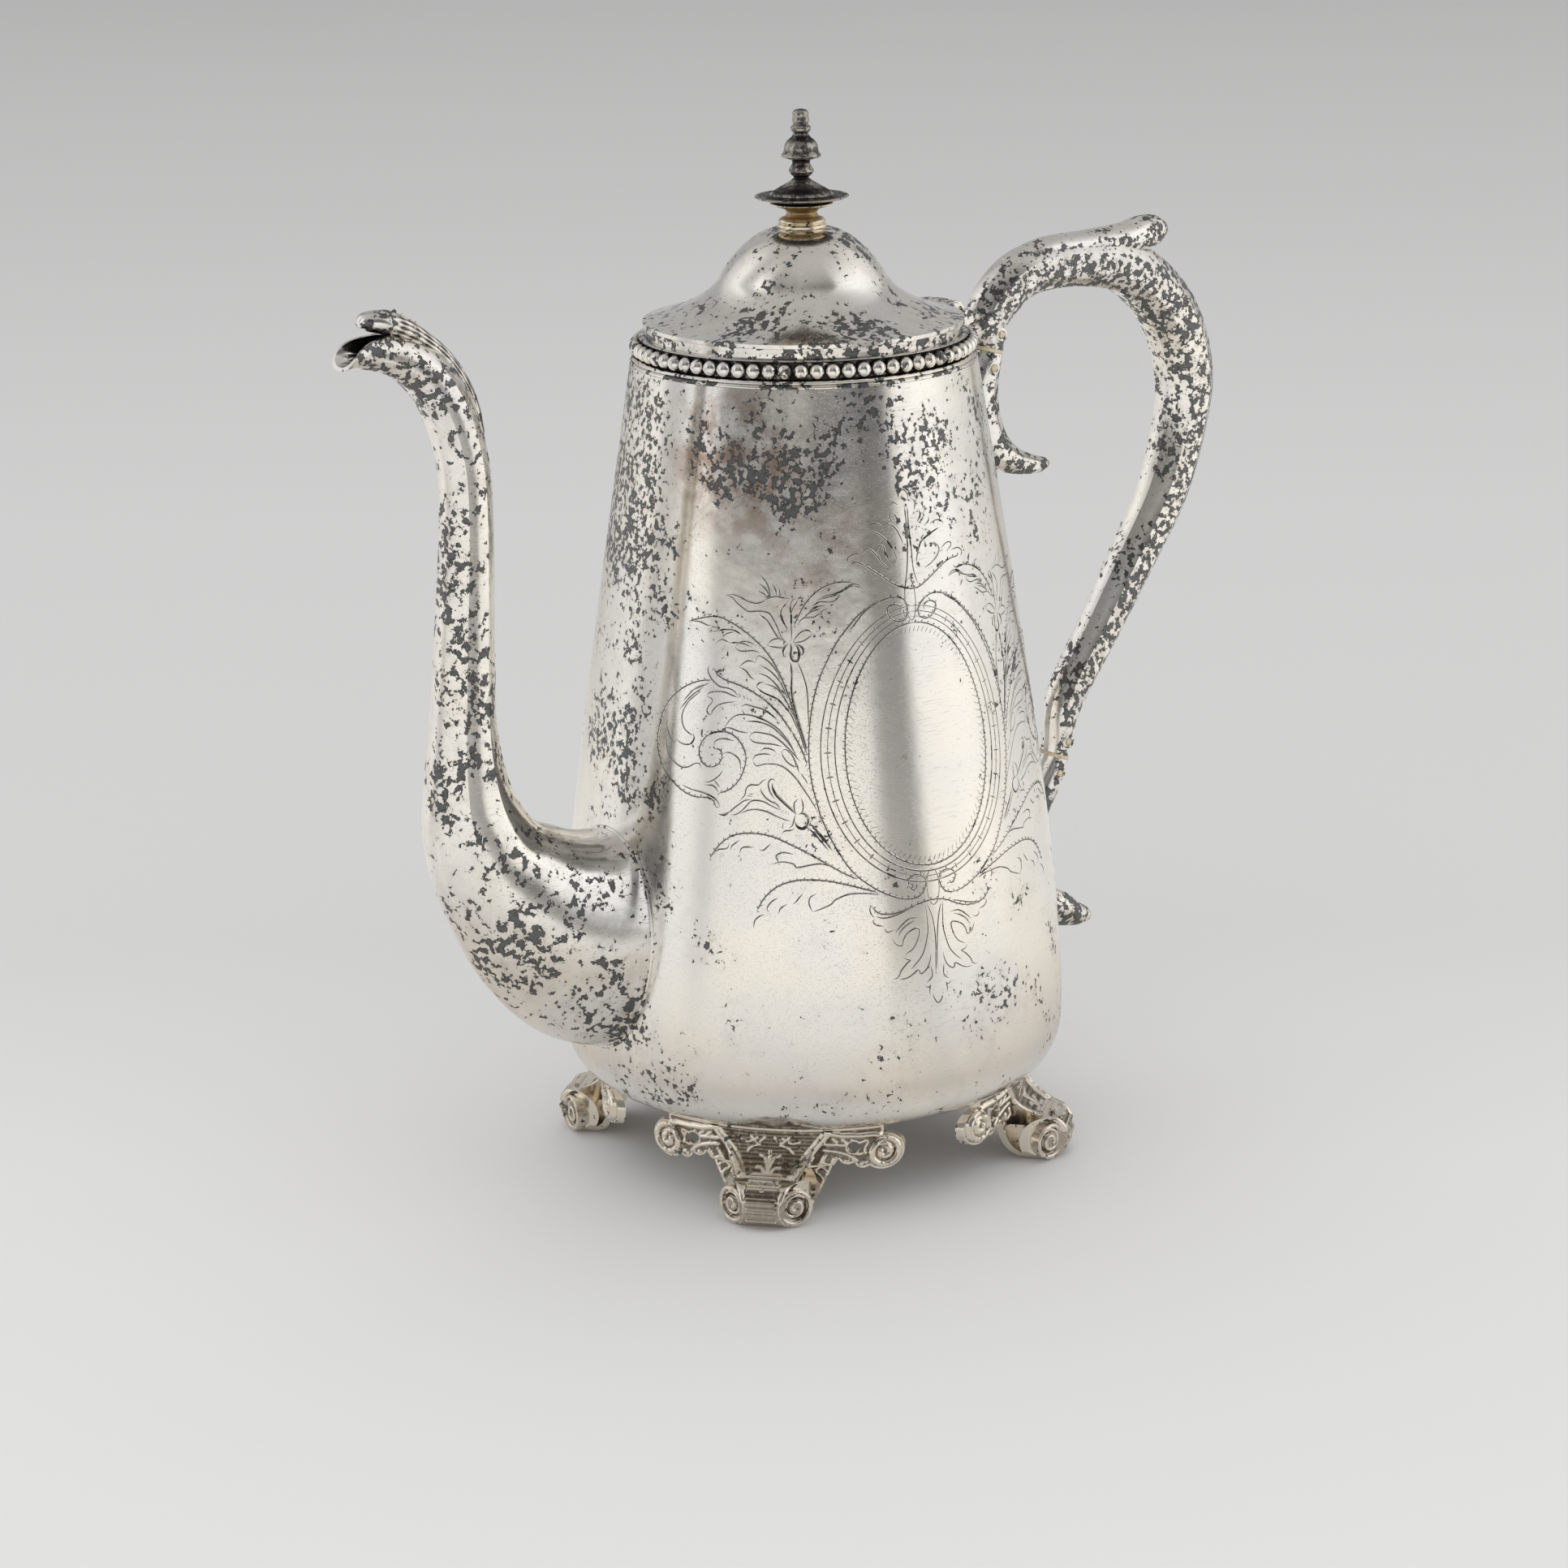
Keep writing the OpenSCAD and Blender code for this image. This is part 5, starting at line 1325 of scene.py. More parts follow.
relief_points, relief_faces, relief_hollow = foot_relief()
volute_points, volute_faces, volute_hollow = toe_volutes()
foot_points, foot_faces = joined([(relief_points, relief_faces), (volute_points, volute_faces)])
foot_marks = {"hollow": np.append(relief_hollow, volute_hollow)}
for name, turn in (("foot_spout_front", -135), ("foot_spout_back", 135),
                   ("foot_handle_front", -45), ("foot_handle_back", 45)):
    a = math.radians(turn)
    spun = np.array(((math.cos(a), -math.sin(a), 0), (math.sin(a), math.cos(a), 0), (0, 0, 1)))
    foot_mesh = new_mesh(name, foot_points @ spun.T, foot_faces, foot_marks)
    dress(name + "_ornament", foot_mesh, FOOT_PLATE, sharp=75)
    dress_solid(name, FOOT_PLATE)

# ---------------------------------------------------------------- engraving

SIDE_TURN = -4.3
# Engraver's lines on the side of the body: degrees round from the middle of the side, and height
ENGRAVING = {
    "frame_side": [
        ("rope", [(-10.2, 150.9), (-12.3, 149.8), (-15.5, 148), (-18.7, 145.1), (-21.6, 141.9),
            (-24.3, 137.6), (-26.2, 133.9), (-27.6, 129.8), (-28.5, 125.7), (-29, 121.6),
            (-29.2, 117.9), (-29.1, 113.8), (-28.5, 109.3), (-27.6, 105.5), (-26.9, 102.9),
            (-26.9, 102.6), (-24.7, 97.2), (-22.2, 92.4), (-19.2, 88), (-15.2, 84.5), (-11.1, 82),
            (-6.8, 80.5), (-3.4, 80.9), (-1.8, 83.4), (-2.3, 85.3), (-3.9, 86.1), (-5.7, 85.5),
            (-6.3, 84), (-5.3, 82.6), (-4.1, 82.9)]),
    ],
    "flower": [
        ("line", [(-51.7, 152.7), (-49.6, 152.9), (-47.7, 152.5), (-45.4, 151.6), (-43.2, 151.2),
            (-41.4, 151.5), (-39.7, 152.4), (-37.5, 152.9), (-35.3, 152.6), (-33.8, 152.4)]),
        ("line", [(-51.7, 152.7), (-49.8, 152.2), (-48.6, 151.2), (-46.7, 150), (-44.9, 149.2),
            (-42.3, 149.4), (-39.6, 149.1), (-38.3, 147.7), (-37, 145.5), (-36.1, 143.6), (-35.1, 142.9)]),
        ("line", [(-42, 148.7), (-40, 147.4), (-38.7, 145.8), (-37.4, 144), (-36.1, 142.9),
            (-34.9, 142.7)]),
        ("line", [(-34, 152), (-35.7, 150.3), (-36.2, 148.8), (-35.3, 146.6), (-34.5, 145.5),
            (-34.9, 144.7), (-35.5, 145.1)]),
        ("line", [(-31.6, 152.4), (-32.9, 152.2), (-33.6, 150.7), (-33.4, 148.5), (-33.4, 145.9),
            (-33.3, 143.6), (-33.6, 142.5)]),
        ("line", [(-31.6, 152.4), (-32.1, 151.3), (-32.9, 150.3), (-33.4, 148.8)]),
        ("line", [(-42, 157.8), (-40.1, 155.8), (-39, 153)]),
        ("line", [(-42.4, 155.9), (-40.6, 154.7), (-39.2, 152.9)]),
        ("line", [(-42.6, 154.1), (-40.8, 153.4), (-39.9, 152.5)]),
        ("line", [(-38.6, 155.8), (-37.7, 154.4), (-37.3, 153)]),
        ("line", [(-36.8, 154.9), (-36.3, 153)]),
        ("line", [(-35.1, 154.2), (-35, 153)]),
        ("line", [(-39.8, 141.5), (-38.5, 142.8), (-36.6, 143.2), (-35.1, 142.5), (-34.9, 142.1)]),
        ("line", [(-39.8, 141.5), (-37.8, 141.2), (-35.7, 141.1), (-35.1, 141.8)]),
        ("line", [(-27.7, 144.3), (-29.1, 145.1), (-30.8, 144.7), (-32.3, 143.3), (-33, 142.3)]),
        ("line", [(-27.7, 144.3), (-29, 143.3), (-30.7, 142.5), (-32.8, 142.3)]),
        ("bold", [(-34.2, 142.1), (-35.4, 140.7), (-35.5, 139.3), (-34.7, 139)]),
        ("bold", [(-33.6, 142.2), (-33.4, 140.7), (-33.6, 139.2), (-33, 138.1), (-31.7, 138.1),
            (-31.3, 139.5), (-31.7, 141), (-32.6, 142.1)]),
        ("bold", [(-32.1, 142), (-30.7, 141.2), (-30.2, 140.3), (-30.5, 139.5), (-31.3, 139.5)]),
        ("bold", [(-33.6, 137.7), (-33.3, 134.7), (-33.4, 131.7), (-33.2, 129.5), (-32.4, 126.1),
            (-30.9, 121.3), (-29.6, 117.2)]),
        ("line", [(-31.8, 137.9), (-30.7, 135.4), (-29.7, 132.5), (-29.3, 129.5), (-29.2, 125.7),
            (-29.1, 122.4)]),
    ],
    "high_leaf": [
        ("rope", [(-32.7, 146.1), (-31.4, 148.5), (-29.7, 151.1), (-27.1, 153.6), (-24, 155.2),
            (-20.4, 156), (-16.5, 155.8)]),
        ("line", [(-13.6, 154.2), (-15.1, 155.2), (-16.9, 155.3), (-18.5, 154.6), (-20.5, 153.6)]),
        ("line", [(-13.6, 154.2), (-15.2, 154.7), (-17, 154.9), (-18.8, 154.1), (-21.9, 153.3),
            (-24.1, 153), (-26.2, 151.9)]),
        ("line", [(-20.1, 153.2), (-21.5, 151.8), (-23.2, 151.5), (-25.8, 151.6), (-27.6, 150.7)]),
        ("line", [(-23.5, 150.2), (-25, 149.5), (-27.2, 148.2), (-30.2, 147.9), (-31.9, 146.2)]),
        ("line", [(-20.6, 153.2), (-23.6, 152.6), (-25.8, 152.1)]),
        ("line", [(-24.1, 150.8), (-27.1, 150.3), (-29.5, 148.5)]),
        ("line", [(-25.2, 150.2), (-28.4, 149.2), (-30.6, 147.5)]),
    ],
    "upper_leaf": [
        ("rope", [(-62.4, 145.8), (-55, 147.5), (-50.3, 146.6), (-45.7, 144.4), (-41.7, 141.6),
            (-38.6, 138.4), (-36.1, 134.3), (-34.1, 129.8), (-32.9, 126.1), (-31.7, 122.4),
            (-30.5, 118.7), (-29.6, 116.2)]),
        ("line", [(-62.1, 145.8), (-59.3, 145.9), (-56.8, 145.3), (-55.3, 145.3)]),
        ("line", [(-55.8, 144.5), (-54.8, 144), (-52.9, 144.4), (-51.1, 144.7), (-48.8, 144.6),
            (-46.5, 143.6)]),
        ("line", [(-55.8, 144.5), (-55.1, 145), (-53.4, 144.9)]),
        ("line", [(-53.9, 141.3), (-52.4, 142.3), (-50.1, 141.7)]),
        ("line", [(-52.4, 142.5), (-51.1, 143.7), (-48.8, 144.3)]),
        ("line", [(-48.4, 140.7), (-47.3, 140), (-45.5, 140), (-43.4, 140.2), (-41.6, 139.8)]),
        ("line", [(-48.4, 140.7), (-47.4, 141.9), (-45.2, 142.2), (-43, 141.6)]),
        ("line", [(-50.1, 141.7), (-46.9, 141.8), (-43.8, 141)]),
        ("line", [(-47.2, 136.2), (-45.9, 137.3), (-44.6, 137.8), (-42.7, 137.5)]),
        ("line", [(-47.2, 136.2), (-45.4, 135.5), (-44.1, 134.1), (-42.8, 133.4)]),
        ("line", [(-42.7, 137.5), (-42.7, 138.2), (-42.1, 139), (-40.8, 138.7), (-39.1, 137.6),
            (-37.4, 135.8), (-36.1, 133.6)]),
        ("line", [(-41.6, 137), (-38.6, 135.4), (-36.1, 132.8), (-34.5, 129.5)]),
        ("line", [(-42, 135.1), (-39.4, 134.2), (-36.9, 132), (-34.9, 129.1)]),
        ("line", [(-42.5, 131.9), (-41.5, 132.9), (-40.3, 132.9)]),
        ("line", [(-42.5, 131.9), (-41.1, 130.8), (-38.6, 129.8), (-36.9, 129.1), (-35.3, 127.6),
            (-33.7, 125.8), (-32.9, 124.3), (-31.7, 121.7)]),
        ("line", [(-40.3, 132.7), (-37.3, 131.7), (-35.3, 129.5), (-33.7, 126.9), (-32.5, 124.6)]),
    ],
    "lower_leaf": [
        ("rope", [(-54.1, 135.3), (-52.9, 133.9), (-50.6, 132.9), (-47, 132), (-43.6, 130.7),
            (-40.2, 128.8), (-36.9, 126.1), (-34.5, 123.1), (-32.5, 120.2), (-30.9, 117.2),
            (-29.6, 113.8)]),
        ("line", [(-55.5, 136.1), (-55.9, 134.7), (-54.9, 133.1), (-54.1, 132.4), (-52.3, 131.3),
            (-50, 131.1), (-48.3, 130.5), (-47.2, 129.4)]),
        ("line", [(-55.8, 128.7), (-55.1, 129.7), (-53.1, 130.1), (-50.9, 130.1), (-49.1, 129.6),
            (-46.9, 129)]),
        ("line", [(-55.8, 128.7), (-54.6, 128.4), (-54.1, 127.7), (-55.4, 126.1), (-55.5, 125),
            (-54.4, 124.5), (-54, 125.5), (-52.5, 127), (-50.3, 127.7), (-47.8, 128.1)]),
        ("line", [(-47, 130.2), (-46.5, 129.1)]),
        ("line", [(-45.9, 129.8), (-45.3, 128.8)]),
        ("line", [(-45, 129.5), (-44.5, 128.6)]),
        ("line", [(-44.2, 129.2), (-43.6, 128.3)]),
        ("line", [(-46.4, 127), (-45.2, 127.6), (-43.1, 127.2), (-40.2, 126.5), (-37.7, 124.9),
            (-36.9, 124.2)]),
        ("line", [(-46, 126.3), (-45.5, 125.4), (-44.5, 125.1)]),
        ("line", [(-50.5, 121.9), (-49.3, 123.6), (-47.6, 124.9), (-45.5, 125.2), (-43.4, 125.1),
            (-40.1, 124.1), (-36.9, 122.3), (-34.5, 119.8), (-32.9, 117.5)]),
        ("line", [(-50.5, 121.9), (-48.8, 121.8), (-46.7, 121.2), (-44.2, 121)]),
        ("line", [(-45.1, 123.7), (-41.8, 123.7), (-38.5, 122.7), (-35.7, 120.5), (-33.7, 118.3),
            (-32.1, 115.7)]),
        ("line", [(-44.1, 120), (-42.9, 121.2), (-40.5, 121.1), (-38.1, 120.6), (-35.7, 119),
            (-33.3, 116.8), (-31.3, 114.6)]),
        ("line", [(-44.1, 120), (-42.9, 119), (-40.4, 118.7), (-38, 118.6), (-35.7, 118.1)]),
        ("line", [(-41.2, 116.8), (-40, 117.6), (-38, 117.3), (-37.2, 116.6)]),
        ("line", [(-43, 114.6), (-42.4, 115.8), (-40, 116.3), (-38.4, 116.1)]),
        ("line", [(-43, 114.6), (-42.1, 113.4), (-40, 113.9), (-37.2, 113.9), (-34.9, 113),
            (-32.5, 110.8), (-30.6, 108.2), (-28.8, 105.5), (-27.3, 102.9)]),
        ("line", [(-35.8, 117), (-34.9, 117.5), (-33.3, 116.1), (-32.3, 113.8), (-32.7, 113.4),
            (-34.5, 114.5), (-35.6, 116), (-35.8, 117)]),
        ("line", [(-32.3, 114.6), (-31.6, 111.9)]),
        ("line", [(-31.2, 111.9), (-30, 110.1)]),
        ("line", [(-30.6, 111.2), (-29.5, 109.3)]),
    ],
    "big_scroll": [
        ("rope", [(-54.8, 132.6), (-57.4, 132.3), (-60.7, 131.2), (-64, 129.3), (-66.9, 126.7),
            (-68.9, 123.3), (-69.8, 119.4), (-69.9, 115.9), (-68.8, 112.7), (-67, 109.9),
            (-64.1, 107.5), (-61.1, 105.8), (-57.9, 104.9), (-54.9, 105), (-52.9, 104.5), (-52, 102.9)]),
        ("line", [(-55.3, 131.8), (-57.8, 130.8), (-61, 129.3)]),
        ("line", [(-55.5, 131.9), (-59.2, 130.3), (-62.8, 126.8)]),
        ("line", [(-56.8, 130.9), (-60.5, 128.2), (-63.6, 124.8)]),
        ("line", [(-57.7, 129.7), (-60.9, 127.1), (-62.6, 124.2), (-62.6, 121.9), (-61.5, 120.2),
            (-59.3, 119.1)]),
        ("line", [(-59.3, 119.7), (-58.8, 118.6), (-59.6, 117.2), (-61.2, 116.8), (-62.9, 117.1),
            (-64.2, 117.9)]),
        ("line", [(-64.2, 117.9), (-64.4, 116.8), (-66, 118.1), (-67.2, 120.2), (-67.2, 122.1)]),
        ("line", [(-67.2, 117.5), (-66.7, 114.9), (-65, 112.9), (-62.5, 111.5), (-60.1, 111.6),
            (-58.4, 112.6), (-57, 112.8), (-56.5, 111.7)]),
        ("rope", [(-51.5, 106.3), (-48.7, 107.5), (-46.3, 109.9), (-45, 113), (-44.8, 115.7),
            (-46.2, 118.6), (-48.7, 120.5), (-51.8, 120.8), (-54.8, 119.8), (-56.7, 117.7),
            (-57.2, 115.4), (-56.2, 113.2), (-54.3, 112.3), (-52.2, 112.9), (-51, 114.5), (-51.1, 116),
            (-52, 116.7), (-53.1, 116.6)]),
        ("line", [(-53.1, 117.3), (-53, 118.4), (-51.2, 119.2), (-49.1, 119.1), (-47.8, 118.9)]),
        ("line", [(-50.9, 115.4), (-49.8, 116.1), (-48.1, 115.8), (-46.4, 114.5), (-45.9, 111.9)]),
        ("line", [(-50.5, 111.9), (-51.7, 110.3), (-53.8, 108.9), (-55.5, 108.6)]),
        ("line", [(-52.9, 109.4), (-51.2, 107.7)]),
        ("line", [(-61.7, 107.2), (-58.9, 106.5), (-55.8, 106.1), (-53.6, 105.5), (-51.9, 104.6),
            (-51, 103.1)]),
        ("line", [(-55.4, 108), (-52.9, 107.9), (-51.5, 106.5)]),
    ],
    "low_flower": [
        ("line", [(-51.3, 101.4), (-49.6, 101.7), (-48.3, 102.3), (-47.3, 103.3), (-46.1, 104.2),
            (-45.1, 105), (-44.1, 105.3), (-43.1, 105.5)]),
        ("line", [(-45.9, 101.9), (-44.4, 102.7), (-42.8, 103.1), (-41, 103.1), (-39, 102.6),
            (-37, 101.7), (-35.1, 101), (-33.7, 100.7)]),
        ("line", [(-46.1, 104.9), (-45.3, 105.8), (-44.7, 106.6), (-44.6, 107.6), (-44.2, 108.4),
            (-43.3, 108.9), (-42.1, 108.9), (-41.3, 109.1), (-40.3, 110.1), (-39.4, 110.3)]),
        ("line", [(-40.7, 108.4), (-40.9, 107.8), (-40.3, 106.7), (-39.3, 105.7), (-38, 105),
            (-37, 104.6), (-36.3, 103.7), (-36.1, 103.3)]),
        ("line", [(-37.4, 109.9), (-37.9, 110.5), (-38.7, 110.2), (-39.1, 109.1), (-38.7, 107.5),
            (-38.1, 106.6), (-37.5, 105.8)]),
        ("line", [(-35.4, 103.3), (-35.6, 102.5)]),
        ("line", [(-34.7, 103.2), (-34.9, 102.3)]),
        ("line", [(-34.1, 102.7), (-34.3, 102.1)]),
        ("line", [(-43.9, 106.8), (-42.7, 106.7)]),
        ("line", [(-44.3, 106.3), (-42.9, 106.2)]),
        ("line", [(-31.3, 106.2), (-30.9, 105.3), (-30.7, 103.9), (-31, 102.7), (-31.9, 102.3)]),
        ("line", [(-31.8, 106), (-32.7, 105.1), (-32.9, 103.9), (-32.6, 102.7), (-32.2, 102.3)]),
        ("line", [(-35.3, 100.3), (-35.6, 99.6), (-35.4, 98.8)]),
        ("line", [(-32.7, 99), (-33.5, 98.5), (-35.1, 98.3), (-35.9, 97.6)]),
        ("line", [(-32.6, 102.2), (-32.9, 100.8), (-33.3, 99.6), (-34.1, 99)]),
        ("bold", [(-51.3, 101.4), (-49.8, 101.3), (-48.7, 101.9)]),
        ("bold", [(-38.1, 109.5), (-38.1, 108.5), (-37.5, 107.1), (-36.7, 106.2), (-35.3, 104.9),
            (-33.5, 103.3), (-32.6, 102.4)]),
        ("bold", [(-31.9, 102.3), (-30.6, 102.4), (-29.7, 101.4), (-29.6, 100.2), (-30.4, 99),
            (-31.4, 98.9), (-32.4, 99.6), (-32.6, 100.6)]),
        ("bold", [(-29.3, 100.1), (-28.5, 99.4), (-27.3, 97.8), (-25.8, 96), (-24.1, 93.6)]),
        ("line", [(-48.3, 101.5), (-46.9, 101.7), (-45.7, 102.5), (-44.5, 103.7), (-43.3, 105),
            (-41.7, 105.3), (-40, 105), (-38.4, 104.2), (-36.8, 103.5), (-36.1, 103.2)]),
        ("line", [(-29.7, 99.1), (-28.3, 97.8), (-26.4, 95.5), (-24.7, 93.4)]),
    ],
    "low_leaves": [
        ("rope", [(-53.2, 90.6), (-51.4, 93.5), (-49, 95.8), (-46.2, 97.1), (-41.9, 97.5),
            (-37.7, 96.8), (-33.5, 95), (-29.4, 92.9), (-25.3, 90.4), (-21.8, 88.2), (-18.5, 86.5)]),
        ("rope", [(-41.5, 79.1), (-39.7, 82.4), (-36.6, 85.2), (-32.5, 86.6), (-28.5, 86.7),
            (-24.4, 86.2), (-19.3, 84.8), (-13.7, 82.9)]),
        ("line", [(-52.8, 91.5), (-51.1, 93), (-48.9, 93.5), (-48.4, 94.8)]),
        ("line", [(-47.8, 93), (-47.8, 94.1), (-45.7, 95.8)]),
        ("line", [(-45.9, 92.4), (-45.1, 94), (-42.4, 94.2)]),
        ("line", [(-41.1, 94), (-40.3, 93.5), (-38.2, 95.4)]),
        ("line", [(-38.2, 90.4), (-36.6, 91), (-37.2, 92.3), (-35.6, 93.2), (-33, 92.9)]),
        ("line", [(-38.2, 90.4), (-35.6, 91), (-33, 90.5), (-32.5, 89.7), (-30.5, 90), (-27.4, 90.5),
            (-24.8, 90), (-22.3, 88.5), (-19.3, 86.7)]),
        ("line", [(-42.2, 74.8), (-42, 76.7), (-41, 77.8), (-39.7, 78.4)]),
        ("line", [(-38.7, 79), (-39.2, 79.8), (-38.2, 81.4), (-36.6, 82.5)]),
        ("line", [(-36.6, 78.5), (-36.1, 79.9), (-34.6, 81)]),
        ("line", [(-33.3, 81), (-32.6, 81.5), (-31, 83.6)]),
        ("line", [(-28.8, 79.1), (-29.6, 81), (-29.3, 82.6), (-28, 83.4)]),
        ("line", [(-28.8, 79.1), (-26.6, 79.9), (-24.5, 80.9), (-23.5, 81.9), (-20.4, 83),
            (-16.3, 82.9), (-13.2, 82.3)]),
    ],
    "foot_span": [
        ("rope", [(-15.3, 79.9), (-14.4, 78.5), (-13.1, 77.7), (-10.8, 77.4), (-8.4, 77.7),
            (-5.9, 78.4), (-3.4, 79.1), (-0.8, 79.5), (1.8, 79.3), (3.9, 78.6), (6, 77.5), (8.5, 76.6),
            (11.4, 76.3), (14, 76.8), (15.8, 78.3), (16.9, 78.9)]),
        ("line", [(-1.5, 56.9), (-1.2, 55.6), (-0.2, 54.2), (0.8, 55.2), (1.1, 55.9)]),
        ("line", [(-1.9, 78.8), (-0.8, 75.7), (-0.3, 72.3), (-0.2, 68.7), (-0.4, 65.1), (-0.5, 61.5)]),
        ("line", [(1.8, 78.4), (1, 75.4), (0.5, 72.2), (0.1, 67.4), (-0.2, 62.7)]),
    ],
    "foot_palm": [
        ("line", [(-15.3, 79.9), (-15.8, 79.1), (-15.5, 77.9), (-14.7, 76.9)]),
        ("line", [(-14.5, 77.2), (-12.4, 76.6), (-9.6, 77), (-6.9, 77.9), (-4.9, 78.5)]),
        ("line", [(-14.6, 76.6), (-15.2, 76.1), (-14.3, 75.1), (-12.5, 74.7)]),
        ("line", [(-12.2, 74.2), (-12.5, 73.7), (-11.6, 73.1), (-10.4, 73.6)]),
        ("line", [(-10.8, 71.7), (-10.1, 70.2), (-8.8, 69.4), (-8.4, 69.7), (-8.2, 70.7), (-7.2, 72.2),
            (-5.2, 73.2), (-4.2, 72.9), (-4.6, 70.6), (-5.9, 68.4), (-7.9, 67.3)]),
        ("line", [(-9.5, 71.5), (-8.6, 73.1), (-7.1, 74.3), (-5.1, 75.2)]),
        ("line", [(-10, 72.8), (-8.5, 74.3), (-6.5, 75.7), (-4.1, 75.8)]),
        ("line", [(-8.4, 66.8), (-7.5, 66), (-6.5, 65.8), (-7.5, 65.1), (-9, 63.4), (-9.7, 62),
            (-11, 61.6)]),
        ("line", [(-9.5, 61.4), (-7.7, 61.5), (-6.2, 62.2), (-4.7, 63.2), (-4.3, 62), (-2.8, 62.9),
            (-1.9, 64.7), (-1.6, 66.5)]),
        ("line", [(-6.6, 63.5), (-4.6, 65.4), (-3.3, 67.3), (-2.4, 70.3), (-2, 72.6), (-2.1, 75.9),
            (-2.3, 78.6)]),
        ("line", [(-1.7, 63.7), (-1.5, 61), (-2.9, 59.6)]),
        ("line", [(-3.5, 59), (-2.5, 58.4), (-2, 58.9), (-2.3, 57.5), (-2.1, 56.3)]),
    ],
    "crown": [
        ("rope", [(-17, 159.6), (-15.5, 160.4), (-13.2, 159.6), (-10.9, 158.3), (-8.1, 156.6),
            (-5.4, 154.9), (-2.5, 153.7), (0.5, 153), (3.2, 153.2), (6.1, 154.5), (9.3, 156.1),
            (12.6, 157.6), (15.4, 158.3), (18.3, 158.4)]),
        ("line", [(-17, 159.6), (-17.9, 160.5), (-17.1, 161.8), (-15, 162.3), (-13.4, 162.2)]),
        ("line", [(-13.6, 162.2), (-12.6, 163.1), (-11, 163), (-9, 161.2), (-7.9, 159.8), (-5.9, 158.4)]),
        ("line", [(-7.9, 160.2), (-9, 162.2), (-8.5, 163.5), (-7, 163.4), (-6.5, 161.7), (-5, 159.6),
            (-3, 158.1)]),
        ("line", [(-11.2, 168), (-10.1, 168.8), (-8, 168.6), (-6.6, 167.9)]),
        ("line", [(-11.3, 167.6), (-8.6, 166.6), (-5.8, 164.6), (-3.9, 162.1), (-2.9, 159.4)]),
        ("line", [(-6.4, 167.8), (-5.5, 168.7), (-3.4, 167.8), (-1.8, 165.8), (-0.7, 163.1)]),
        ("line", [(-3.9, 171.2), (-4.3, 169.6), (-2.9, 168.2)]),
        ("line", [(-3.9, 171.2), (-2.7, 170.4), (-1.5, 168.4)]),
        ("line", [(-3.6, 172.5), (-3, 173.4), (-1.5, 172.6)]),
        ("line", [(-1, 173.7), (-1, 175.1), (0.7, 176), (2, 174.9), (2.1, 173.6)]),
        ("line", [(3, 173.8), (4.4, 172.7), (3.8, 170.8)]),
        ("line", [(5.3, 171.1), (5.9, 169.6), (4.5, 168.1)]),
        ("line", [(8.6, 169), (8.7, 168), (6.8, 166.9)]),
        ("line", [(8.8, 167.1), (11.5, 167.8), (13.8, 167), (14, 166.3)]),
        ("line", [(12.3, 165.9), (9, 165), (5.3, 163.4), (3.6, 160.7), (2.9, 158.5)]),
        ("line", [(8.6, 162.4), (10.1, 162.4), (11.3, 161.4), (10.9, 160.1), (8.6, 158.4), (5.5, 157.2)]),
        ("line", [(12, 161), (14.4, 162.1), (16, 161.9), (15.9, 161.1), (14, 160)]),
        ("line", [(15.7, 160.1), (18.7, 160.3), (20.3, 159.1), (19.5, 158.2)]),
        ("line", [(-1.2, 154.3), (-0.2, 157.5), (0.5, 162.3), (0.8, 167.2), (0.7, 172.1)]),
        ("line", [(2.8, 153.9), (1.8, 157.3), (1.7, 162.2), (1.5, 167.1), (1.6, 172)]),
        ("rope", [(-17.9, 144.6), (-13.8, 148.6), (-9.8, 150.6), (-5.6, 151.5), (-2.3, 150.9),
            (-1.1, 148.8), (-1.9, 146.2), (-4.5, 145.8), (-6.6, 147), (-7.1, 149), (-5.4, 149.8),
            (-3.3, 149.3), (-3, 148.3)]),
        ("rope", [(28.7, 124.7), (28.2, 130.5), (26.1, 136), (23.3, 140.6), (19.3, 144.9),
            (14.9, 148.6), (10.5, 150.8), (6.7, 151.1), (3.7, 149.8), (2.2, 148.1), (2.4, 146.4),
            (4.6, 145.6), (7, 146.5), (8.1, 148.3), (6.9, 149.4), (5.1, 149.4), (3.8, 148.2)]),
    ],
}


def on_body(turn, z, lift=0.0):
    """A point on the body's skin: degrees round from the middle of the engraved side, and height"""
    a = np.radians(np.asarray(turn, float) + SIDE_TURN)
    r = body_radius(np.asarray(z, float)) + lift
    return np.stack([r * np.sin(a), -r * np.cos(a), np.broadcast_to(z, r.shape)], axis=-1)


def smooth_line(line, step=0.6):
    """A stroke of (degrees, height) made smooth, with points about one step apart on the skin"""
    flat = np.array(line, float)
    fine = through(flat, 8) if len(flat) > 2 else np.linspace(flat[0], flat[1], 8)
    place = on_body(fine[:, 0], fine[:, 1])
    run = np.concatenate([[0], np.cumsum(np.linalg.norm(np.diff(place, axis=0), axis=1))])
    count = max(4, int(run[-1] / step) + 1)
    at = np.linspace(0, run[-1], count)
    return np.stack([np.interp(at, run, fine[:, 0]), np.interp(at, run, fine[:, 1])], axis=1), run[-1]


def frame_of(fine):
    """Along a stroke: its points on the body, the way ahead, out of the body, and to its side"""
    place = on_body(fine[:, 0], fine[:, 1])
    ahead = np.gradient(place, axis=0)
    ahead /= np.linalg.norm(ahead, axis=1)[:, None]
    out = on_body(fine[:, 0], fine[:, 1], 1.0) - place
    out /= np.linalg.norm(out, axis=1)[:, None]
    return place, ahead, out, np.cross(out, ahead)


# Width of a cut and height of its burr
GRAVER = {"line": (0.48, 0.05), "bold": (0.84, 0.065), "rope": (0.54, 0.055), "dash": (0.50, 0.05),
          "hair": (0.32, 0.035)}
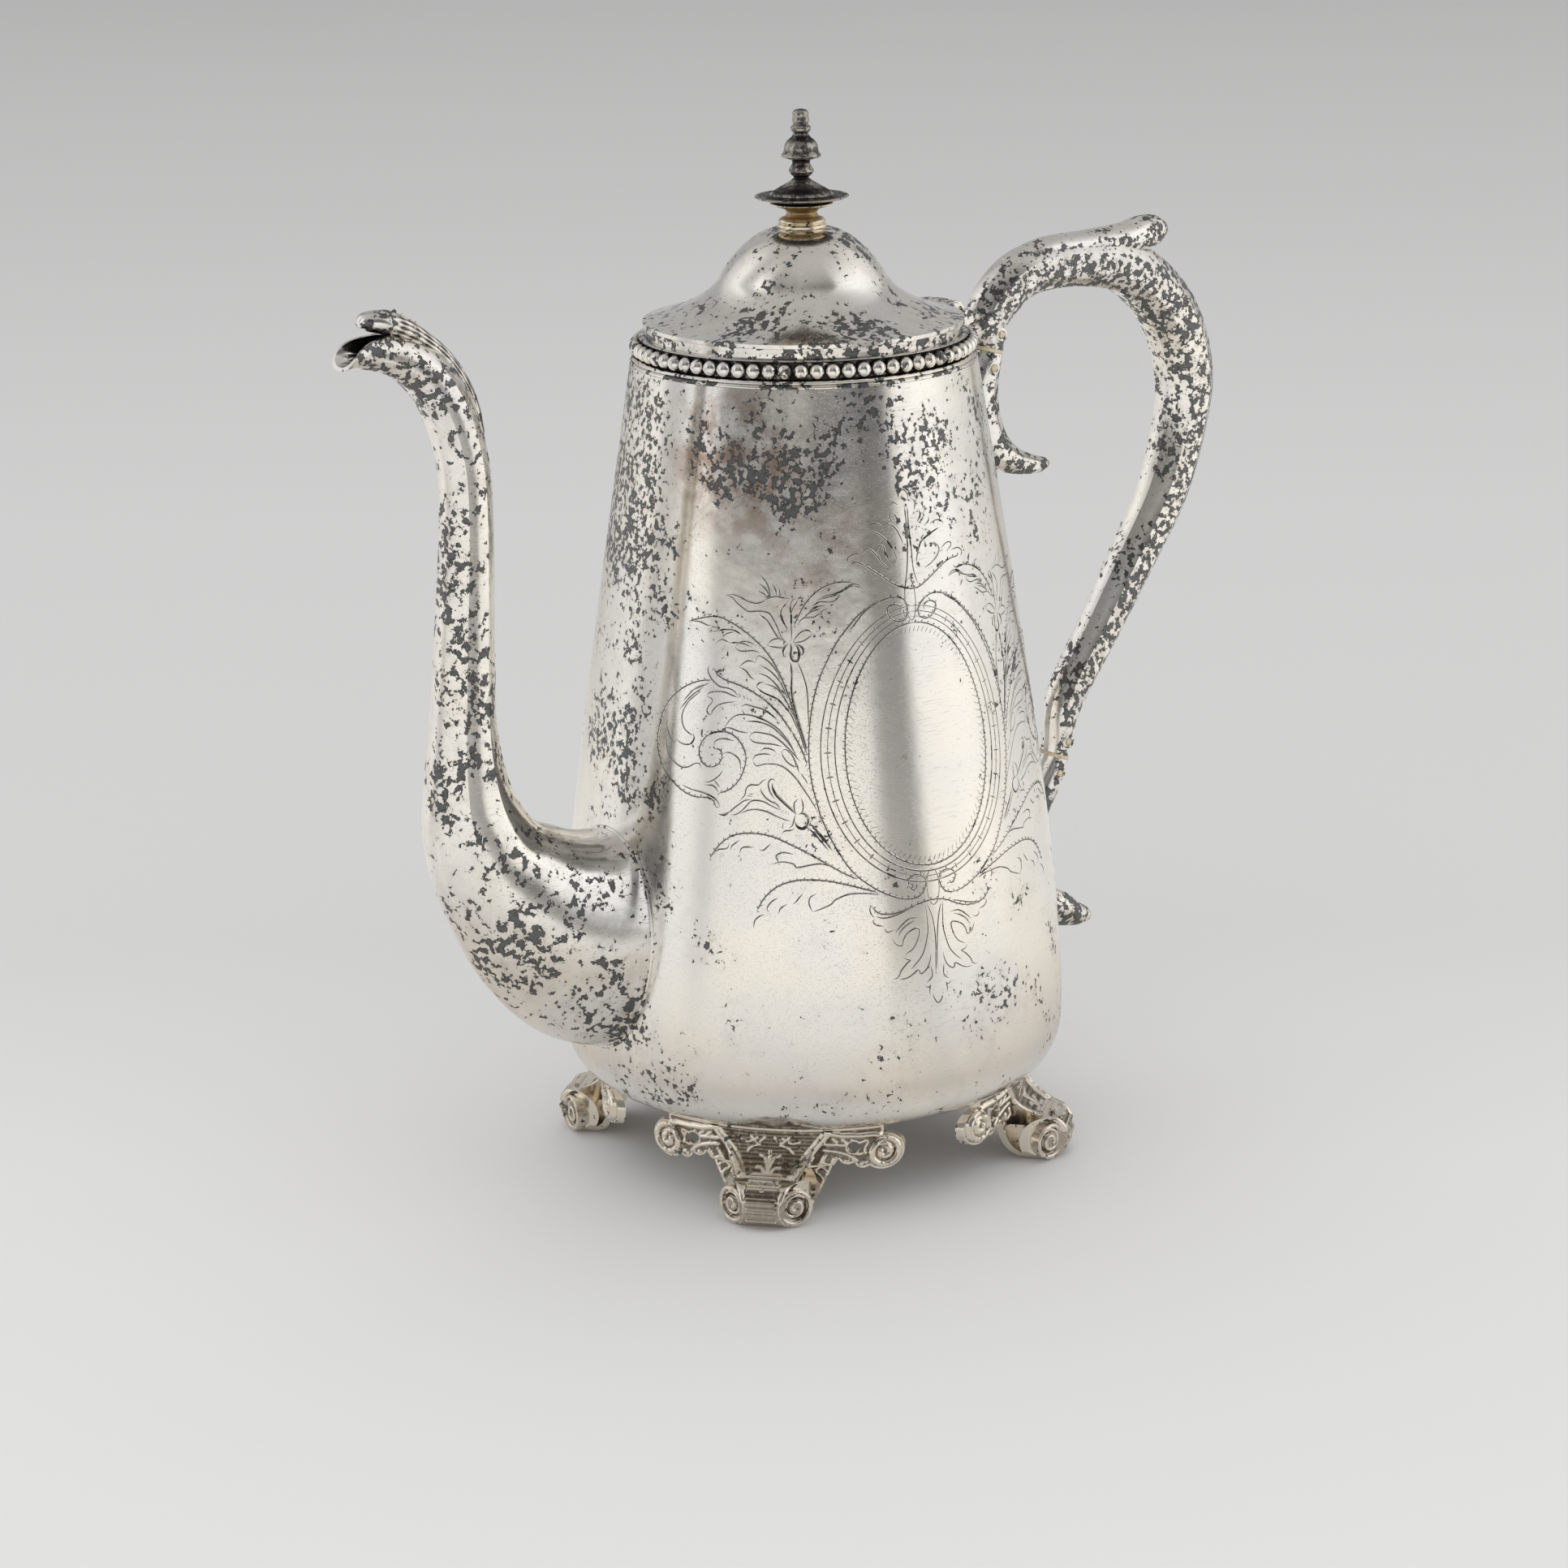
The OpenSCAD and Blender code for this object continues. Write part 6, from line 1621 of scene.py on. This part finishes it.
# Section of a cut: two burrs with the groove between them, as (share of half width, share of height, groove)
CUT = ((-1.0, -0.6, 0.0), (-0.62, 1.0, 0.15), (-0.3, 0.45, 1.0), (0.3, 0.45, 1.0), (0.62, 1.0, 0.15),
       (1.0, -0.6, 0.0))


def cut_strokes(strokes):
    """Every stroke as one ribbon that hugs the body and thins out at both ends"""
    points, faces, groove, base, c = [], [], [], 0, len(CUT)
    for kind, line in strokes:
        width, height = GRAVER[kind]
        fine, length = smooth_line(line)
        place, _, out, side = frame_of(fine)
        n = len(fine)
        t = np.linspace(0, 1, n)
        swell = np.clip(np.minimum(t, 1 - t) * length / 1.2, 0.12, 1) ** 0.7
        if kind in ("line", "bold"):
            swell = swell * (0.62 + 0.5 * np.sin(math.pi * t))
        rise = np.minimum(swell, 1)
        rows = [place + side * (x * width / 2 * swell)[:, None] + out * (y * height * rise)[:, None]
                for x, y, _ in CUT]
        points.append(np.stack(rows, axis=1).reshape(-1, 3))
        groove.append(np.tile([g for _, _, g in CUT], n))
        for row in range(base, base + (n - 1) * c, c):
            faces += [(v, v + 1, v + c + 1, v + c) for v in range(row, row + c - 1)]
        base += n * c
    return np.vstack(points), faces, np.concatenate(groove)


OVAL_Z = 116.5
ZIGZAGS, DASHES = 92, 34
DASH_APART = 0.075 * 0.45
DOT = ((24.3, 31.0), (24.9, 31.5))
BAR = ((23.6, 30.5), (25.6, 32.0))


def ring_line(wide, high, middle=OVAL_Z):
    a = np.radians(np.linspace(0.0, 360.0, 97))
    return list(zip(wide * np.sin(a), middle + high * np.cos(a)))


def on_oval(angle, wide, high):
    """A point on an oval of the frame, as (degrees, height)"""
    return (wide * math.sin(angle), OVAL_Z + high * math.cos(angle))


def mirrored(strokes):
    return [(kind, [(-turn, z) for turn, z in line]) for kind, line in strokes]


def all_strokes():
    both = [s for key in ("frame_side", "flower", "high_leaf", "upper_leaf", "lower_leaf", "big_scroll",
                          "low_flower", "low_leaves", "foot_palm") for s in ENGRAVING[key]]
    strokes = both + mirrored(both) + ENGRAVING["foot_span"] + ENGRAVING["crown"]
    strokes += [("line", ring_line(wide, high)) for wide, high in ((22.8, 30.0), (26.3, 32.5))]
    strokes += [("rope", ring_line(20.3, 28.6))]
    strokes += [("hair", ring_line(24.6, 31.2)), ("hair", ring_line(1.6, 5.0, middle=150.6)),
                ("hair", ring_line(1.6, 4.4, middle=82.6))]
    # slanted cuts round the inside of the frame
    for i in range(ZIGZAGS):
        a, b = 2 * math.pi * i / ZIGZAGS, 2 * math.pi * (i + 0.5) / ZIGZAGS
        strokes.append(("hair", [on_oval(a, 18.4, 26.4), on_oval(b, 19.7, 27.8)]))
    # bars round the frame, each with a dot on both sides of it
    for i in range(DASHES):
        a = 2 * math.pi * (i + 0.5) / DASHES
        for side, kind, ends in ((-1, "dash", DOT), (0, "bold", BAR), (1, "dash", DOT)):
            strokes.append((kind, [on_oval(a + side * DASH_APART, *end) for end in ends]))
    return strokes


TICK_STEP = 0.85


def ticks_of(strokes):
    """Places and turns of the short wriggled cuts along every rope line"""
    spots, turns = [], []
    for kind, line in strokes:
        if kind != "rope":
            continue
        fine, _ = smooth_line(line, TICK_STEP)
        place, ahead, out, side = frame_of(fine)
        for i in range(len(fine)):
            hand = 1 if i % 2 else -1
            lean = ahead[i] * 0.75 + side[i] * hand
            lean /= np.linalg.norm(lean)
            turn = Matrix((lean, np.cross(out[i], lean), out[i])).transposed().to_euler("XYZ")
            spots.append(place[i] + side[i] * (0.34 * hand))
            turns.append(turn[:])
    return np.array(spots), np.array(turns)


def tick_tree():
    """Short cuts set on points, each turned as its point says"""
    takes = [("Places", GEOMETRY, None), ("Cut length", FLOAT, None), ("Cut width", FLOAT, None),
             ("Burr height", FLOAT, None), ("Finish", MATERIAL, None)]
    tree, given, out = new_group("graver_ticks", takes, [("Cuts", GEOMETRY)], "GeometryNodeTree")
    grain = small_ball(tree, 6, 3)
    grain.inputs["Radius"].default_value = 0.5
    size = node(tree, "ShaderNodeCombineXYZ")
    for axis, label in zip("XYZ", ("Cut length", "Cut width", "Burr height")):
        feed(tree, size.inputs[axis], given[label])
    turn = node(tree, "GeometryNodeInputNamedAttribute", data_type="FLOAT_VECTOR")
    turn.inputs["Name"].default_value = "turn"
    spun = node(tree, "FunctionNodeEulerToRotation")
    feed(tree, spun.inputs[0], turn.outputs["Attribute"])
    row = node(tree, "GeometryNodeInstanceOnPoints")
    feed(tree, row.inputs["Points"], given["Places"])
    feed(tree, row.inputs["Instance"], grain.outputs["Mesh"])
    feed(tree, row.inputs["Rotation"], spun.outputs[0])
    feed(tree, row.inputs["Scale"], size.outputs[0])
    with_finish(tree, row.outputs[0], given["Finish"], out)
    return tree


CUT_PLATE = plated("cut_plate", amount=0.22, size=4.6, specks=0.3, scratches=0.2, rough=0.2, hollow="groove",
                   recess_tarnish_and_shade_tone=(0.06, 0.055, 0.05, 1.0), spots=BODY_SPOTS)
TICK_PLATE = plated("tick_plate", amount=0.5, size=2.0, specks=0.3, scratches=0.0, rough=0.26,
                    tone=(0.36, 0.345, 0.32, 1.0))
STROKES = all_strokes()
cut_points, cut_faces, cut_groove = cut_strokes(STROKES)
cut_mesh = new_mesh("engraved_lines", cut_points, cut_faces, {"groove": cut_groove})
dress("engraved_lines", cut_mesh, CUT_PLATE, sharp=80)
spots, turns = ticks_of(STROKES)
tick_points = new_mesh("tick_places", spots, [])
tick_points.attributes.new("turn", "FLOAT_VECTOR", "POINT").data.foreach_set("vector", turns.ravel())
tick_mesh = run_tree(add_object("tick_places", tick_points), tick_tree(), Cut_length=0.95 * MM,
                     Cut_width=0.26 * MM, Burr_height=0.09 * MM, Finish=TICK_PLATE)
dress("engraved_ticks", tick_mesh, TICK_PLATE, sharp=80)

# ---------------------------------------------------------------- hinge and the remaining small parts

HINGE_PLATE = plated("hinge_plate", amount=0.4, size=1.6, specks=0.5, scratches=0.4, rough=0.22)
for name in ("hinge_body_leaf", "lid_hinge_leaf", "hinge_pin", "finial_nut"):
    dress_solid(name, HINGE_PLATE)

scene.view_settings.view_transform = "Standard"
